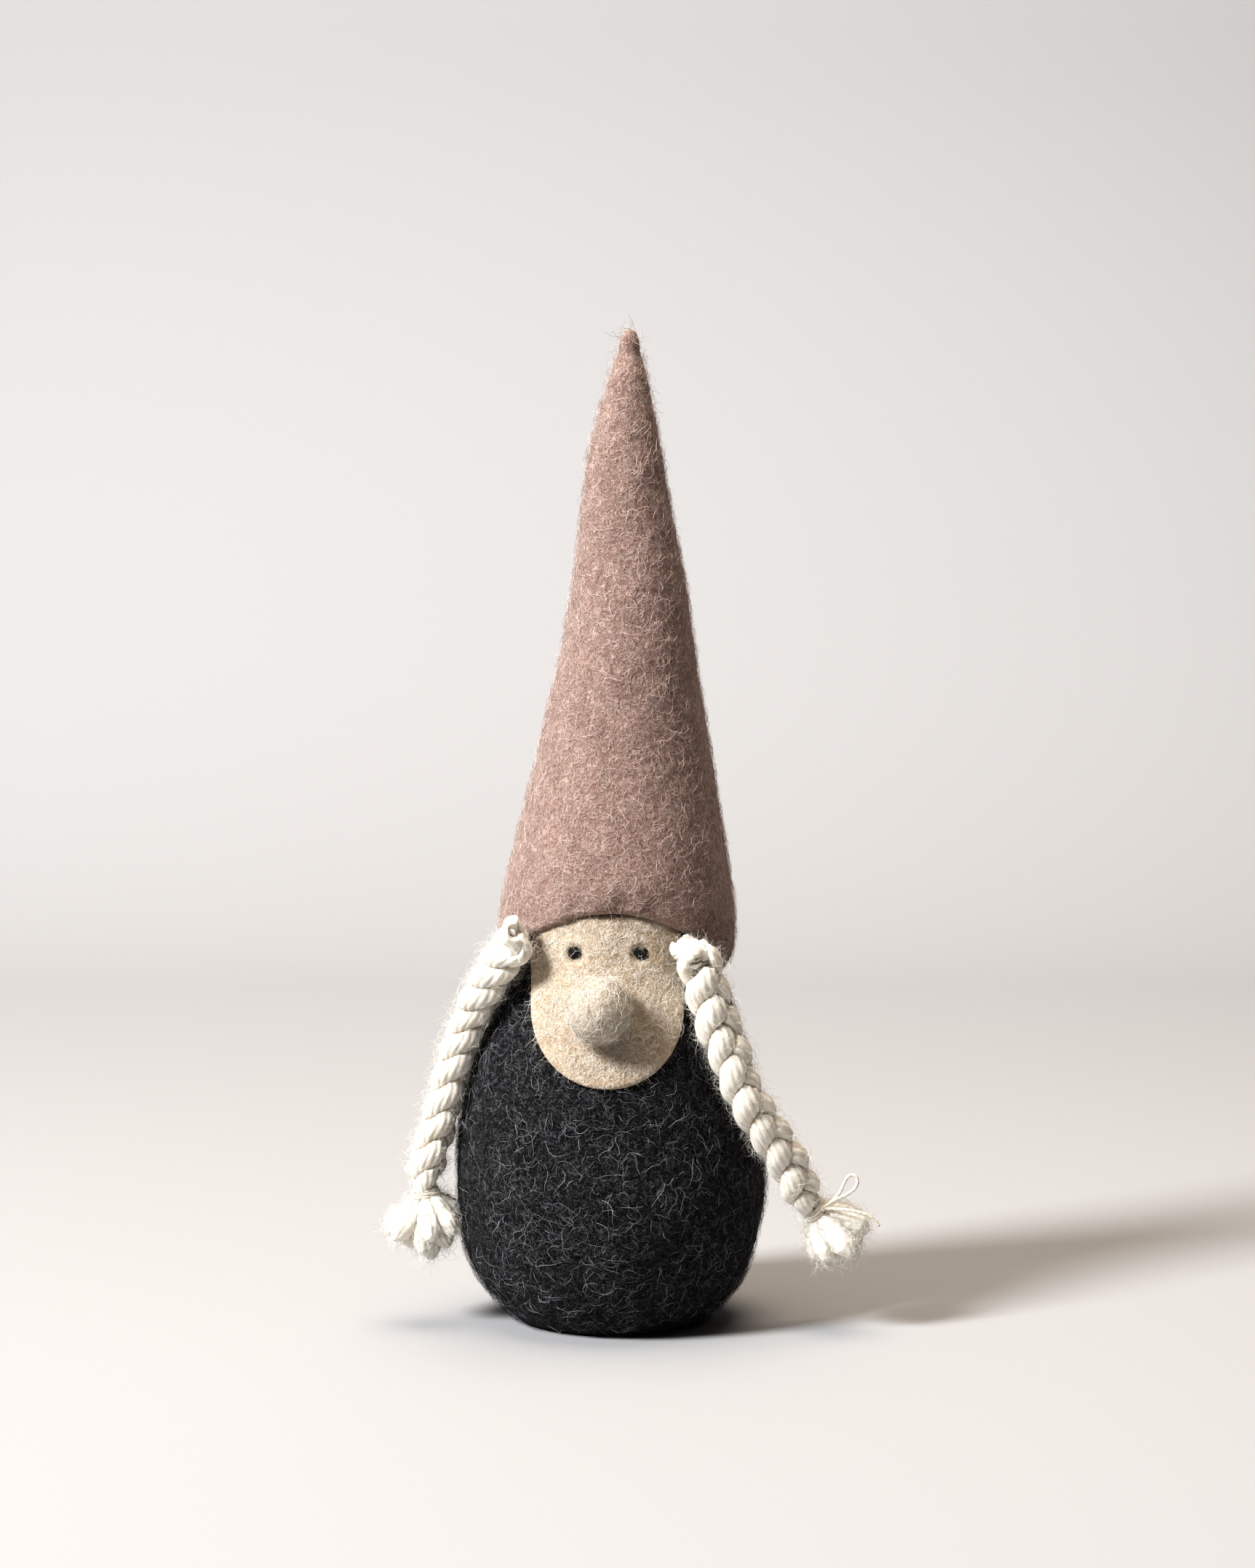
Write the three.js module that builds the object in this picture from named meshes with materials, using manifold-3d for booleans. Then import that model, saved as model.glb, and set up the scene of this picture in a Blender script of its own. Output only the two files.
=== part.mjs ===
// A felted wool gnome with a tall pointed hat, a knob nose and two hanging braids.
// Millimetres, +Z up. The origin is the middle of the flat face it stands on, and its face looks along -Y.
// "left" is the side at -X and "right" the side at +X, as someone facing the gnome sees them.

import * as THREE from 'three';
import { mergeVertices } from 'three/addons/utils/BufferGeometryUtils.js';
import Module from 'manifold-3d';

const wasm = await Module();
wasm.setup();

// ---- driving dimensions -------------------------------------------------------------------------

const GAP = 0.3; // clearance left between touching pieces
const ROUND_STEPS = 32; // flats around the body and the hat
const SKIN = 4; // thickness of the felt body skin
const HAT_WALL = 4; // thickness of the felt hat

// Outside of the body as [radius, height], from the edge of the standing face up to the neck.
const BODY_OUTLINE = [
  [28, 0], [35.4, 7], [41.4, 15.6], [44.4, 25], [46.5, 38], [46.4, 51], [44.9, 65], [40.9, 83],
  [38.2, 92], [35.4, 100], [32.8, 106], [30.4, 111], [28.2, 118], [26.4, 125], [23.6, 132], [18, 140],
];
const NECK_OPENING = 10; // radius of the hole in the top of the skin, where the core was stuffed in
const NECK_HEIGHT = 144;

// Outside of the hat as [radius, height], from below its hem up to the tip.
const HAT_OUTLINE = [
  [35.4, 98], [34.8, 105], [35.7, 113], [35.9, 121], [33.7, 135], [30.4, 151], [26.9, 168], [22.8, 187.6],
  [20.1, 204], [17.5, 220.6], [14.1, 240.5], [11.5, 258], [8.8, 273.5], [5.6, 287], [3.6, 294], [0, 300],
];
const HAT_LEAN = [[0, 1.4], [120, 1.6], [168, 3.9], [220, 5.5], [260, 4.6], [300, 5.7]]; // [height, shift in X]
const HAT_TIP = 300;
const STUFFING_TOP = 262;
const HEM_BACK = 101; // height of the hem behind
const HEM_RISE = 26; // how much higher the hem is over the face
const HEM_LIP = 1.5; // how far the hem stands off the body
const THINNEST_HEM = 0.9;

// The felt face: half width, middle height, half height above and below it, thickness and shift in X.
// Its outline is a little squarer above the middle than below: 2 would be an ellipse.
const FACE = {
  halfWidth: 23.6, middle: 100, up: 27, down: 23, squareTop: 4, squareChin: 2.1, thick: 2.3, shift: -1,
};
const NOSE = { x: -3.2, height: 100.3, halfWidth: 9.3, halfDepth: 9.8, halfHeight: 9.8, reach: 5.6 };
const EYE = { left: -10.4, right: 8.8, height: 115.4, halfWidth: 2.4, halfDepth: 2, halfHeight: 2.2 };

const THREAD = 0.45; // radius of the sewing thread
const STITCH_ANGLES = [-150, -106, -64, -20, 4, 19, 64, 106, 150]; // degrees round from the face
const STITCH_LENGTH = 4.4;
const STITCH_RISE = 3.5; // height of a stitch above the hem
const STITCH_SUNK = 0.2; // how far below the felt's surface it lies

// Middle line of each braid: from where it is sewn on, down to the tie, then on through its tassel.
const BRAIDS = {
  left: {
    hang: [
      [-25.5, -31.5, 120.5], [-30.6, -27.3, 116], [-35.5, -21.6, 108.8], [-39.8, -16, 99.6], [-43.6, -12.2, 90.6],
      [-46.6, -10.2, 82.5], [-49, -9.4, 73.2], [-51.2, -9, 64.3], [-53.6, -9, 57], [-55.5, -9, 50.5],
      [-56.5, -9, 44.5], [-56.2, -9, 40.2],
    ],
    tassel: [[-55.6, -9, 35], [-54.4, -9, 18]],
  },
  right: {
    hang: [
      [24.5, -32.5, 119], [26.5, -32, 110.6], [29.3, -31.6, 102.3], [32, -31.8, 92.6], [35.4, -32, 83.2],
      [39.6, -31.2, 73.4], [45.4, -28.8, 63.6], [51.2, -26.3, 54.7], [54.8, -24.2, 46.7], [57.9, -22.2, 40.6],
      [60.8, -20.8, 37.2],
    ],
    tassel: [[64, -19.6, 33.4], [73, -16.2, 21.4]],
  },
};
const BRAID_TOP = 4.6; // radius of the folded top, centred on the point each braid turns about
const STRAND = { radius: 1.85, wide: 4.5, deep: 2.6, period: 28.5, sides: 8, steps: 44 };
// The three strands where the string pulls them in: over a few millimetres, then straight under the string.
const TIED = { radius: 1.1, spread: 1.6, over: 3, straight: 1.2 };
const TUFT = { radius: 5.1, spread: 6.2 }; // the fluffy ends below the string
const STRING = 0.5; // radius of the tying string

// ---- small tools --------------------------------------------------------------------------------

const vec = (p) => new THREE.Vector3(...p);
const smooth = (x) => THREE.MathUtils.smoothstep(x, 0, 1);
const mix = THREE.MathUtils.lerp;

// Value at `key` on a line through [key, value] pairs.
function along(pairs, key) {
  const next = pairs.findIndex(([k]) => k >= key);
  if (next === 0) return pairs[0][1];
  if (next < 0) return pairs[pairs.length - 1][1];
  const [k0, v0] = pairs[next - 1];
  const [k1, v1] = pairs[next];
  return mix(v0, v1, (key - k0) / (k1 - k0));
}

// A smooth outline through [radius, height] points, as evenly spaced points.
function outline(points, steps) {
  return new THREE.SplineCurve(points.map((p) => new THREE.Vector2(...p))).getSpacedPoints(steps);
}

const bodyCurve = outline(BODY_OUTLINE, 200).map((p) => [p.y, p.x]);
const hatCurve = outline(HAT_OUTLINE, 200).map((p) => [p.y, Math.max(p.x, 0)]);
const bodyRadius = (z) => along(bodyCurve, z);
const lean = (z) => along(HAT_LEAN, z);

// Distance from the hat's leaning axis to the head's surface, at an angle round from the face.
const headRadius = (z, angle) => (z < NECK_HEIGHT ? bodyRadius(z) - lean(z) * Math.sin(angle) : 0);
const hatRadius = (z, angle) => Math.max(along(hatCurve, z), headRadius(z, angle) + HEM_LIP);

// A LatheGeometry turned so that its axis is +Z.
function lathe(points, steps = ROUND_STEPS) {
  const profile = points.map(([r, z]) => new THREE.Vector2(r, z));
  return new THREE.LatheGeometry(profile, steps).rotateX(Math.PI / 2);
}

// Moves each vertex to place(x, y, z), a Vector3.
function moved(geometry, place) {
  const position = geometry.attributes.position;
  for (let i = 0; i < position.count; i += 1) {
    const to = place(position.getX(i), position.getY(i), position.getZ(i));
    position.setXYZ(i, to.x, to.y, to.z);
  }
  return geometry;
}

function solidOf(geometry) {
  const bare = geometry.clone();
  bare.deleteAttribute('normal');
  bare.deleteAttribute('uv');
  const merged = mergeVertices(bare, 1e-4);
  const vertProperties = Float32Array.from(merged.attributes.position.array);
  const triVerts = Uint32Array.from(merged.index.array);
  const mesh = new wasm.Mesh({ numProp: 3, vertProperties, triVerts });
  mesh.merge();
  return new wasm.Manifold(mesh);
}

function geometryOf(solid) {
  const { vertProperties, triVerts, numProp } = solid.getMesh();
  const geometry = new THREE.BufferGeometry();
  const count = vertProperties.length / numProp;
  const position = new Float32Array(count * 3);
  for (let i = 0; i < count; i += 1) {
    position.set(vertProperties.subarray(i * numProp, i * numProp + 3), i * 3);
  }
  geometry.setAttribute('position', new THREE.BufferAttribute(position, 3));
  geometry.setIndex(Array.from(triVerts));
  geometry.computeVertexNormals();
  return geometry;
}

const cut = (geometry, tools) =>
  geometryOf(tools.reduce((left, tool) => left.subtract(solidOf(tool)), solidOf(geometry)));
const joined = (pieces) => geometryOf(pieces.map(solidOf).reduce((a, b) => a.add(b)));

// A round cord of one thickness along points.
function cord(points, radius, steps, sides = 8) {
  const section = new THREE.Shape();
  for (let i = 0; i < sides; i += 1) {
    const angle = (i / sides) * 2 * Math.PI;
    section[i ? 'lineTo' : 'moveTo'](radius * Math.cos(angle), radius * Math.sin(angle));
  }
  section.closePath();
  const extrudePath = new THREE.CatmullRomCurve3(points.map(vec));
  return new THREE.ExtrudeGeometry(section, { steps, extrudePath, bevelEnabled: false, curveSegments: 1 });
}

const group = new THREE.Group();

const felt = (color) => new THREE.MeshStandardMaterial({ color, roughness: 0.95, metalness: 0 });
const bodyFelt = felt('#35353a');
const hatFelt = felt('#c9a99b');
const faceFelt = felt('#dfcfb6');
const noseWool = felt('#e4d6bd');
const eyeWool = felt('#1d1a19');
const braidWool = felt('#ece4d2');
const coreWool = felt('#d8d0c0');
const cottonThread = felt('#e9dfc9');

function add(name, geometry, material) {
  const mesh = new THREE.Mesh(geometry, material);
  mesh.name = name;
  group.add(mesh);
}

// ---- body ---------------------------------------------------------------------------------------

// The skin's outside, its lip round the neck opening and its inside, all in one turned profile.
function bodySkin() {
  const outside = outline(BODY_OUTLINE, 24).map((p) => [p.x, p.y]);
  const lip = [[NECK_OPENING, NECK_HEIGHT], [NECK_OPENING, NECK_HEIGHT - SKIN]];
  const inside = outline(BODY_OUTLINE, 11)
    .map((p) => [p.x - SKIN, p.y])
    .filter(([, z]) => z > SKIN && z < NECK_HEIGHT - SKIN - 2)
    .reverse();
  const floor = [[BODY_OUTLINE[0][0] - 1, SKIN], [0, SKIN]];
  return lathe([[0, 0], ...outside, ...lip, ...inside, ...floor]);
}

// The stuffing fills the skin and stops just short of its neck opening.
function bodyCore() {
  const clear = SKIN + GAP + 0.4;
  const side = outline(BODY_OUTLINE, 11)
    .map((p) => [p.x - clear, p.y])
    .filter(([, z]) => z > clear + 2 && z < NECK_HEIGHT - SKIN - 6);
  const low = BODY_OUTLINE[0][0] - 2;
  return lathe([[0, clear], [low, clear], ...side, [6, NECK_HEIGHT - 8], [0, NECK_HEIGHT - 6]], 28);
}

// ---- hat ----------------------------------------------------------------------------------------

const hemHeight = (angle) => HEM_BACK + HEM_RISE * ((1 + Math.cos(angle)) / 2) ** 2;
const faceward = (x, y) => Math.atan2(x, -y); // angle round from the face
const onHat = (angle, radius, z) =>
  new THREE.Vector3(Math.sin(angle) * radius + lean(z), -Math.cos(angle) * radius, z);

// Inside radius of the hat: its wall, thinned where the head and the felt face fill it.
function hatInside(z, angle) {
  const outside = hatRadius(z, angle);
  const onFace = Math.abs(angle) < 1 ? FACE.thick + GAP : 0;
  const room = headRadius(z, angle) + onFace + 0.5;
  return Math.min(Math.max(outside - HAT_WALL, room, 0.6), outside - THINNEST_HEM);
}

// The hat is turned as a unit tube, outside radius 2 and inside radius 1, and its rings are placed after.
function hatShell() {
  const rows = 21;
  const rise = Array.from({ length: rows }, (_, i) => i / rows);
  const outside = rise.map((t) => [2, t]);
  const inside = rise.filter((_, i) => i % 3 === 0).map((t) => [1, t * 0.96]).reverse();
  const tube = lathe([[0, 0.98], ...inside, ...outside, [0, 1]]);
  return moved(tube, (x, y, t) => {
    const layer = Math.round(Math.hypot(x, y));
    const angle = layer ? faceward(x, y) : 0;
    const z = mix(hemHeight(angle) + (layer === 1 ? 0.6 : 0), HAT_TIP, t);
    if (!layer) return onHat(0, 0, t === 1 ? HAT_TIP : HAT_TIP - 2 * HAT_WALL);
    return onHat(angle, layer === 2 ? hatRadius(z, angle) : hatInside(z, angle), z);
  });
}

// Loose wool that holds the point of the hat up.
function hatStuffing() {
  const base = NECK_HEIGHT + 6;
  const top = STUFFING_TOP;
  const rows = 10;
  const side = Array.from({ length: rows + 1 }, (_, i) => {
    const z = mix(base, top, i / rows);
    return [hatRadius(z, 0) - HAT_WALL - 1.2, z];
  });
  const plug = lathe([[0, base], ...side, [0, top + 5]], 24);
  return moved(plug, (x, y, z) => new THREE.Vector3(x + lean(z), y, z));
}

// ---- face ---------------------------------------------------------------------------------------

// A thin felt pad with a soft edge, shaped from a round one and wrapped on the body.
function facePatch() {
  const rings = [0.25, 0.5, 0.75, 0.92];
  const under = rings.map((r) => [r, 0]);
  const over = rings.map((r) => [r, 1]).reverse();
  const pad = lathe([[0, 0], ...under, [1, 0.1], [1, 0.6], ...over, [0, 1]], 28);
  return moved(pad, (x, y, t) => {
    const size = Math.hypot(x, y);
    const angle = Math.atan2(y, x);
    const power = angle > 0 ? FACE.squareTop : FACE.squareChin;
    const rounding = (Math.abs(Math.cos(angle)) ** power + Math.abs(Math.sin(angle)) ** power) ** (-1 / power);
    const across = size * rounding * Math.cos(angle) * FACE.halfWidth + FACE.shift;
    const up = size * rounding * Math.sin(angle);
    const z = FACE.middle + up * (up > 0 ? FACE.up : FACE.down);
    const radius = bodyRadius(z) + GAP + t * FACE.thick;
    const turn = Math.asin(THREE.MathUtils.clamp(across / (bodyRadius(z) + FACE.thick), -1, 1));
    return new THREE.Vector3(Math.sin(turn) * radius, -Math.cos(turn) * radius, z);
  });
}

// Everything behind the front of the felt face, used to cut what sits on it to fit.
function behindFace() {
  const off = FACE.thick + 2 * GAP;
  const side = outline(BODY_OUTLINE, 60).map((p) => [p.x + off, p.y]);
  return lathe([[0, 0], ...side, [0, 150]], 72);
}

const knob = (size, centre, round = 20, rows = 12) =>
  new THREE.SphereGeometry(1, round, rows)
    .rotateX(Math.PI / 2)
    .scale(...size)
    .translate(...centre);

const onFace = (x, z, out) => {
  const radius = bodyRadius(z) + FACE.thick + GAP;
  return [x, -Math.sqrt(radius ** 2 - x ** 2) - out, z];
};

function eyeBall(x, grow) {
  const size = [EYE.halfWidth + grow, EYE.halfDepth + grow, EYE.halfHeight + grow];
  return knob(size, onFace(x, EYE.height, 0), 12, 8);
}

// ---- sewing -------------------------------------------------------------------------------------

// One stitch through the hat's hem into the head, like a staple; `grow` widens it to cut its way.
function stitch(degrees, grow) {
  const angle = THREE.MathUtils.degToRad(degrees);
  const z = hemHeight(angle) + STITCH_RISE;
  const outer = hatRadius(z, angle) - THREAD - STITCH_SUNK + lean(z) * Math.sin(angle);
  const inner = bodyRadius(z) - SKIN / 2 - grow;
  const half = STITCH_LENGTH / 2 / outer;
  const at = (turn, radius) => [Math.sin(turn) * radius, -Math.cos(turn) * radius, z];
  const points = [
    at(angle - half, inner), at(angle - half, outer - 2.5), at(angle - half, outer - 1), at(angle - half / 2, outer),
    at(angle + half / 2, outer), at(angle + half, outer - 1), at(angle + half, outer - 2.5), at(angle + half, inner),
  ];
  return cord(points, THREAD + grow, 12, 5);
}

// ---- braids -------------------------------------------------------------------------------------

// A braid's middle line with its own directions: along it, away from the body, and across it.
function braidLine({ hang, tassel }) {
  const curve = new THREE.CatmullRomCurve3([...hang, ...tassel].map(vec));
  const length = curve.getLength();
  const hangLength = new THREE.CatmullRomCurve3(hang.map(vec)).getLength();
  const at = (s) => {
    const u = THREE.MathUtils.clamp(s / length, 0, 1);
    const point = curve.getPointAt(u);
    const ahead = curve.getTangentAt(u);
    const out = new THREE.Vector3(point.x, point.y, 0).normalize();
    out.addScaledVector(ahead, -out.dot(ahead)).normalize();
    const across = new THREE.Vector3().crossVectors(out, ahead);
    return { point, ahead, out, across };
  };
  return { at, length, hangLength };
}

// Where strand `k` of three lies across a braid at `s`: over and under, pulled in at the string, then spread.
function strandAt(k, s, line) {
  const { period, wide, deep, radius } = STRAND;
  const third = (k * 2 * Math.PI) / 3;
  const past = s - line.hangLength;
  const phase = ((past + TIED.straight) / period) * 2 * Math.PI + Math.PI / 6 + third;
  const start = mix(0.72, 1, smooth((s - BRAID_TOP) / 9));
  const woven = [wide * start * Math.sin(phase), deep * start * Math.sin(2 * phase)];
  const side = third === 0 ? Math.PI / 3 : Math.PI / 3 - third;
  const opening = smooth((past - TIED.straight) / 9);
  const spread = mix(TIED.spread, TUFT.spread, opening);
  const held = [spread * Math.cos(side), spread * Math.sin(side)];
  const pull = smooth((past + TIED.straight + TIED.over) / TIED.over);
  const tail = line.length - s;
  const bulb = mix(TIED.radius, TUFT.radius, opening) * Math.min(1, Math.sqrt(Math.max(tail, 0) / 6));
  return {
    across: mix(woven[0], held[0], pull),
    out: mix(woven[1], held[1], pull),
    radius: past > 0 ? bulb : mix(radius * start, TIED.radius, pull),
  };
}

// A strand is turned as a straight rod, with its height as the distance along the braid, and then bent.
function strand(k, line) {
  const from = BRAID_TOP + GAP + 0.3;
  const { sides, steps } = STRAND;
  const rows = Array.from({ length: steps }, (_, i) => [1, mix(from, line.length - 0.8, i / (steps - 1))]);
  const rod = lathe([[0, from], ...rows, [0, line.length]], sides);
  return moved(rod, (x, y, s) => {
    const { point, out, across } = line.at(s);
    const place = strandAt(k, s, line);
    return point
      .addScaledVector(across, place.across + x * place.radius)
      .addScaledVector(out, place.out + y * place.radius);
  });
}

// String wound round the neck of a braid and knotted, with its loop and its tail if it has them.
function tieString(line, { loop, tail }) {
  const round = TIED.spread + TIED.radius + GAP + STRING + 0.2;
  const ring = new THREE.TorusGeometry(round, STRING * 1.5, 6, 18);
  const { point, ahead, out, across } = line.at(line.hangLength);
  ring.applyMatrix4(new THREE.Matrix4().makeBasis(across, out, ahead).setPosition(point));
  const centre = point.clone().addScaledVector(out, round + 0.4).toArray();
  const pieces = [ring, knob([1.5, 1.3, 1.3], centre, 10, 6)];
  if (loop) pieces.push(cord([centre, ...loop, centre], STRING, 22, 6));
  if (tail) pieces.push(cord([centre, ...tail], STRING, 12, 6));
  return joined(pieces);
}

// ---- the whole gnome ----------------------------------------------------------------------------

const stitchWays = STITCH_ANGLES.map((degrees) => stitch(degrees, GAP));
const faceCutter = behindFace();
const lines = { left: braidLine(BRAIDS.left), right: braidLine(BRAIDS.right) };

add('body_skin', cut(bodySkin(), stitchWays), bodyFelt);
add('body_core', bodyCore(), coreWool);
const pits = [eyeBall(EYE.left, GAP), eyeBall(EYE.right, GAP)];
add('face_patch', cut(facePatch(), [...pits, ...stitchWays]), faceFelt);
add('eye_left', eyeBall(EYE.left, 0), eyeWool);
add('eye_right', eyeBall(EYE.right, 0), eyeWool);

const noseSize = [NOSE.halfWidth, NOSE.halfDepth, NOSE.halfHeight];
const nose = knob(noseSize, onFace(NOSE.x, NOSE.height, NOSE.reach));
add('nose', cut(nose, [faceCutter]), noseWool);

add('hat_shell', cut(hatShell(), stitchWays), hatFelt);
add('hat_stuffing', hatStuffing(), coreWool);
STITCH_ANGLES.forEach((degrees, i) => add(`hat_stitch_${i + 1}`, stitch(degrees, 0), cottonThread));

// The right string ends in a small loop and a loose tail; the left one is cut short.
const STRING_ENDS = {
  left: {},
  right: {
    loop: [[67.6, -24.4, 42], [69.7, -24, 46.4], [71.6, -23.8, 49], [74, -24, 46.4], [71.4, -24.6, 42.2]],
    tail: [[68.5, -25.8, 38.2], [73.7, -25.6, 37.4], [77.2, -25, 36], [80.1, -24.4, 32.6]],
  },
};

for (const side of ['left', 'right']) {
  const line = lines[side];
  add(`braid_${side}_top`, knob([BRAID_TOP, BRAID_TOP, BRAID_TOP], BRAIDS[side].hang[0], 14, 8), braidWool);
  for (let k = 0; k < 3; k += 1) add(`braid_${side}_strand_${k + 1}`, strand(k, line), braidWool);
  add(`braid_${side}_string`, tieString(line, STRING_ENDS[side]), cottonThread);
}

export default group;
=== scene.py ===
"""A felted wool gnome with a tall pointed hat, a knob nose and two tied braids.

Metres, +Z up. The gnome stands on the origin and looks along -Y; "left" is the side at -X.
"""

import math

import bpy
import numpy as np
from bpy.props import FloatProperty, FloatVectorProperty, IntProperty, PointerProperty
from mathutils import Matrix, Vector, noise
from mathutils.bvhtree import BVHTree


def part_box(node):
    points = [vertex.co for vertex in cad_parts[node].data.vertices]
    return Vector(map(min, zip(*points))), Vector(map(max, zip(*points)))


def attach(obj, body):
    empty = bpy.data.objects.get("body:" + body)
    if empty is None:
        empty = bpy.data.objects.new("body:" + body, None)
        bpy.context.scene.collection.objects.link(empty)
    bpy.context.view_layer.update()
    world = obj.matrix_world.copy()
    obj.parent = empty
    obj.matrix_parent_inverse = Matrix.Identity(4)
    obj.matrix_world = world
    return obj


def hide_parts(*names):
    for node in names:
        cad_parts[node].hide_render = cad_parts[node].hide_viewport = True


bl_info = {
    "name": "Felt Gnome",
    "version": (1, 0, 0),
    "blender": (4, 5, 0),
    "location": "3D View > Sidebar > Gnome",
    "description": "Makes a felted wool gnome with a pointed hat and two tied braids",
    "category": "Add Mesh",
}

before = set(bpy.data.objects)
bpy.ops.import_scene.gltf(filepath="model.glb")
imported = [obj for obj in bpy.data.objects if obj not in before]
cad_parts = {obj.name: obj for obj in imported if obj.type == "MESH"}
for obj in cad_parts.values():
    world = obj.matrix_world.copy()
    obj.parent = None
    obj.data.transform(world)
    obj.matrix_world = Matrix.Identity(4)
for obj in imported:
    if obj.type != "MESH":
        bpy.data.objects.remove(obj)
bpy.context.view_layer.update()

MM = 0.001
BAKE_MAP = "OFBake"  # the name of the map that a mesh brings of its own
FULL_TURN = 2 * math.pi

# The gnome's fixed places, in the frame's own units.
HAT_LOW, HAT_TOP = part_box("hat_shell")
HAT_TIP = HAT_TOP.z - 0.4 * MM
FACE_LOW, FACE_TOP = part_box("face_patch")
FACE_HALF = (FACE_TOP.x - FACE_LOW.x) / 2
FACE_CENTRE = (FACE_TOP.x + FACE_LOW.x) / 2
NOSE_LOW, NOSE_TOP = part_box("nose")
NOSE_DEEP = 9.8 * MM  # half the nose's depth
EYES = ("eye_left", "eye_right")
HEM_RISE = 26 * MM  # how much higher the hem is over the face than behind
FACE_MIDDLE = 100 * MM  # the height at which the felt face is widest
FACE_THICK = 2.3 * MM
NECK_TOP = 144 * MM
TIP_ROUND = 7 * MM  # how far down from the hat's tip its rounding reaches
STITCH_ANGLES = (-150, -106, -64, -20, 4, 19, 64, 106, 150)  # degrees round from the face
STITCH_RISE = 3.5 * MM  # height of a stitch above the hem
STITCH_POINTS = 22

# How finely the felt pieces are divided, and which of their rows lie out of sight.
BODY_COLUMNS, HAT_COLUMNS, FACE_COLUMNS, NOSE_COLUMNS, EYE_COLUMNS = 250, 230, 150, 80, 28
HAT_HIDDEN_ROWS = 30  # the inside and the fold of the hem
FACE_HIDDEN_ROWS = 14  # the back of the face
FACE_FIBRE_ROW = 20  # the first row of the face that loose fibres start from

# How many loose fibres lie on each of the smaller pieces.
FACE_FIBRES, NOSE_FIBRES, EYE_FIBRES, BRAID_FIBRES = 3600, 1500, 130, 5200
FIBRE_FLOOR = 0.15 * MM  # no loose fibre goes lower than this

# Middle line of each braid: from where it is sewn on down to the tie, then through its tassel.
BRAID_HANG = {
    "left": [
        (-25.5, -31.5, 120.5), (-30.6, -27.3, 116), (-35.5, -21.6, 108.8), (-39.8, -16, 99.6),
        (-43.6, -12.2, 90.6), (-46.6, -10.2, 82.5), (-49, -9.4, 73.2), (-51.2, -9, 64.3),
        (-53.6, -9, 57), (-55.5, -9, 50.5), (-56.5, -9, 44.5), (-56.2, -9, 40.2),
    ],
    "right": [
        (24.5, -32.5, 119), (26.5, -32, 110.6), (29.3, -31.6, 102.3), (32, -31.8, 92.6),
        (35.4, -32, 83.2), (39.6, -31.2, 73.4), (45.4, -28.8, 63.6), (51.2, -26.3, 54.7),
        (54.8, -24.2, 46.7), (57.9, -22.2, 40.6), (60.8, -20.8, 37.2),
    ],
}
BRAID_TASSEL = {
    "left": [(-55.6, -9, 35), (-54.4, -9, 18)],
    "right": [(64, -19.6, 33.4), (73, -16.2, 21.4)],
}
# How far each tassel's outer locks lean out, in degrees, and their length.
TASSEL_LEAN = {"left": 56, "right": 40}
TASSEL_LENGTH = {"left": 20.5 * MM, "right": 19.5 * MM}
TASSEL_CLEAR = 0.9 * MM  # how far the tassels' locks stay off the body's felt
TASSEL_FLOOR = 1 * MM  # no lock goes lower than this
LOCK_POINTS = 34
PRESSED_GAP = 0.97  # how far towards halfway a strand swells before its neighbour stops it
# Which way each braid's flat side faces, in degrees from ahead.
BRAID_FACING = {"left": 78, "right": 47}
STRING_LOOP = {
    "right": [
        (67.6, -24.4, 41.4), (69.4, -24, 44.6), (69.9, -23.8, 47.4), (71.5, -23.8, 49.1),
        (73.8, -23.8, 48), (74.2, -24, 45.6), (72.8, -24.2, 43.4), (70.2, -24.6, 42),
        (67, -24.6, 41),
    ]
}
STRING_TAIL = {
    "right": [
        (68.5, -25.8, 38.2), (73.7, -25.6, 37.2), (77.2, -25, 36.2), (79, -24.6, 34.2),
        (80.1, -24.4, 32.6),
    ]
}
STRING_RADIUS = 0.5 * MM
ROVING_PLIES = 11  # how many grooves run along a strand
ROVING_PLY_DEPTH = 0.1  # how deep they are, as a share of its radius
ROUTE_STEP = 0.5 * MM


# ---- shapes -------------------------------------------------------------------------------------


def smooth(x):
    x = np.clip(x, 0, 1)
    return x * x * (3 - 2 * x)


def mix(a, b, share):
    return a + (b - a) * share


def unit(v):
    return v / np.maximum(np.linalg.norm(v, axis=-1, keepdims=True), 1e-12)


def resampled(points, step):
    """Points evenly spaced along a line, with the distance of each from its start."""
    points = np.asarray(points, float)
    far = np.concatenate([[0], np.cumsum(np.linalg.norm(np.diff(points, axis=0), axis=1))])
    at = np.linspace(0, far[-1], max(int(round(far[-1] / step)), 2) + 1)
    return np.stack([np.interp(at, far, points[:, i]) for i in range(points.shape[1])], 1), at


def softened(values, spread):
    """Values run together over their neighbours, with both ends kept in place."""
    reach = int(3 * spread)
    weights = np.exp(-0.5 * (np.arange(-reach, reach + 1) / spread) ** 2)
    weights /= weights.sum()
    values = np.asarray(values, float)
    flat = values.reshape(len(values), -1)
    before = 2 * flat[0] - flat[reach:0:-1]
    after = 2 * flat[-1] - flat[-2 : -reach - 2 : -1]
    padded = np.concatenate([before, flat, after])
    columns = [np.convolve(padded[:, i], weights, "valid") for i in range(padded.shape[1])]
    return np.stack(columns, 1).reshape(values.shape)


def lumps(points, size, depth, seed=0):
    """A height between -depth and depth for each point, in rounded lumps of about size."""
    flat = np.asarray(points).reshape(-1, 3) / size + np.array([seed * 7.3, seed * 3.1, seed * 5.7])
    found = np.array([noise.noise(Vector(p)) for p in flat])
    return depth * found.reshape(np.asarray(points).shape[:-1])


def layered(points, *layers):
    """Lumps of several sizes at once. A layer is a size and a depth in millimetres, and a seed."""
    return sum(lumps(points, size * MM, depth * MM, seed) for size, depth, seed in layers)


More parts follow.
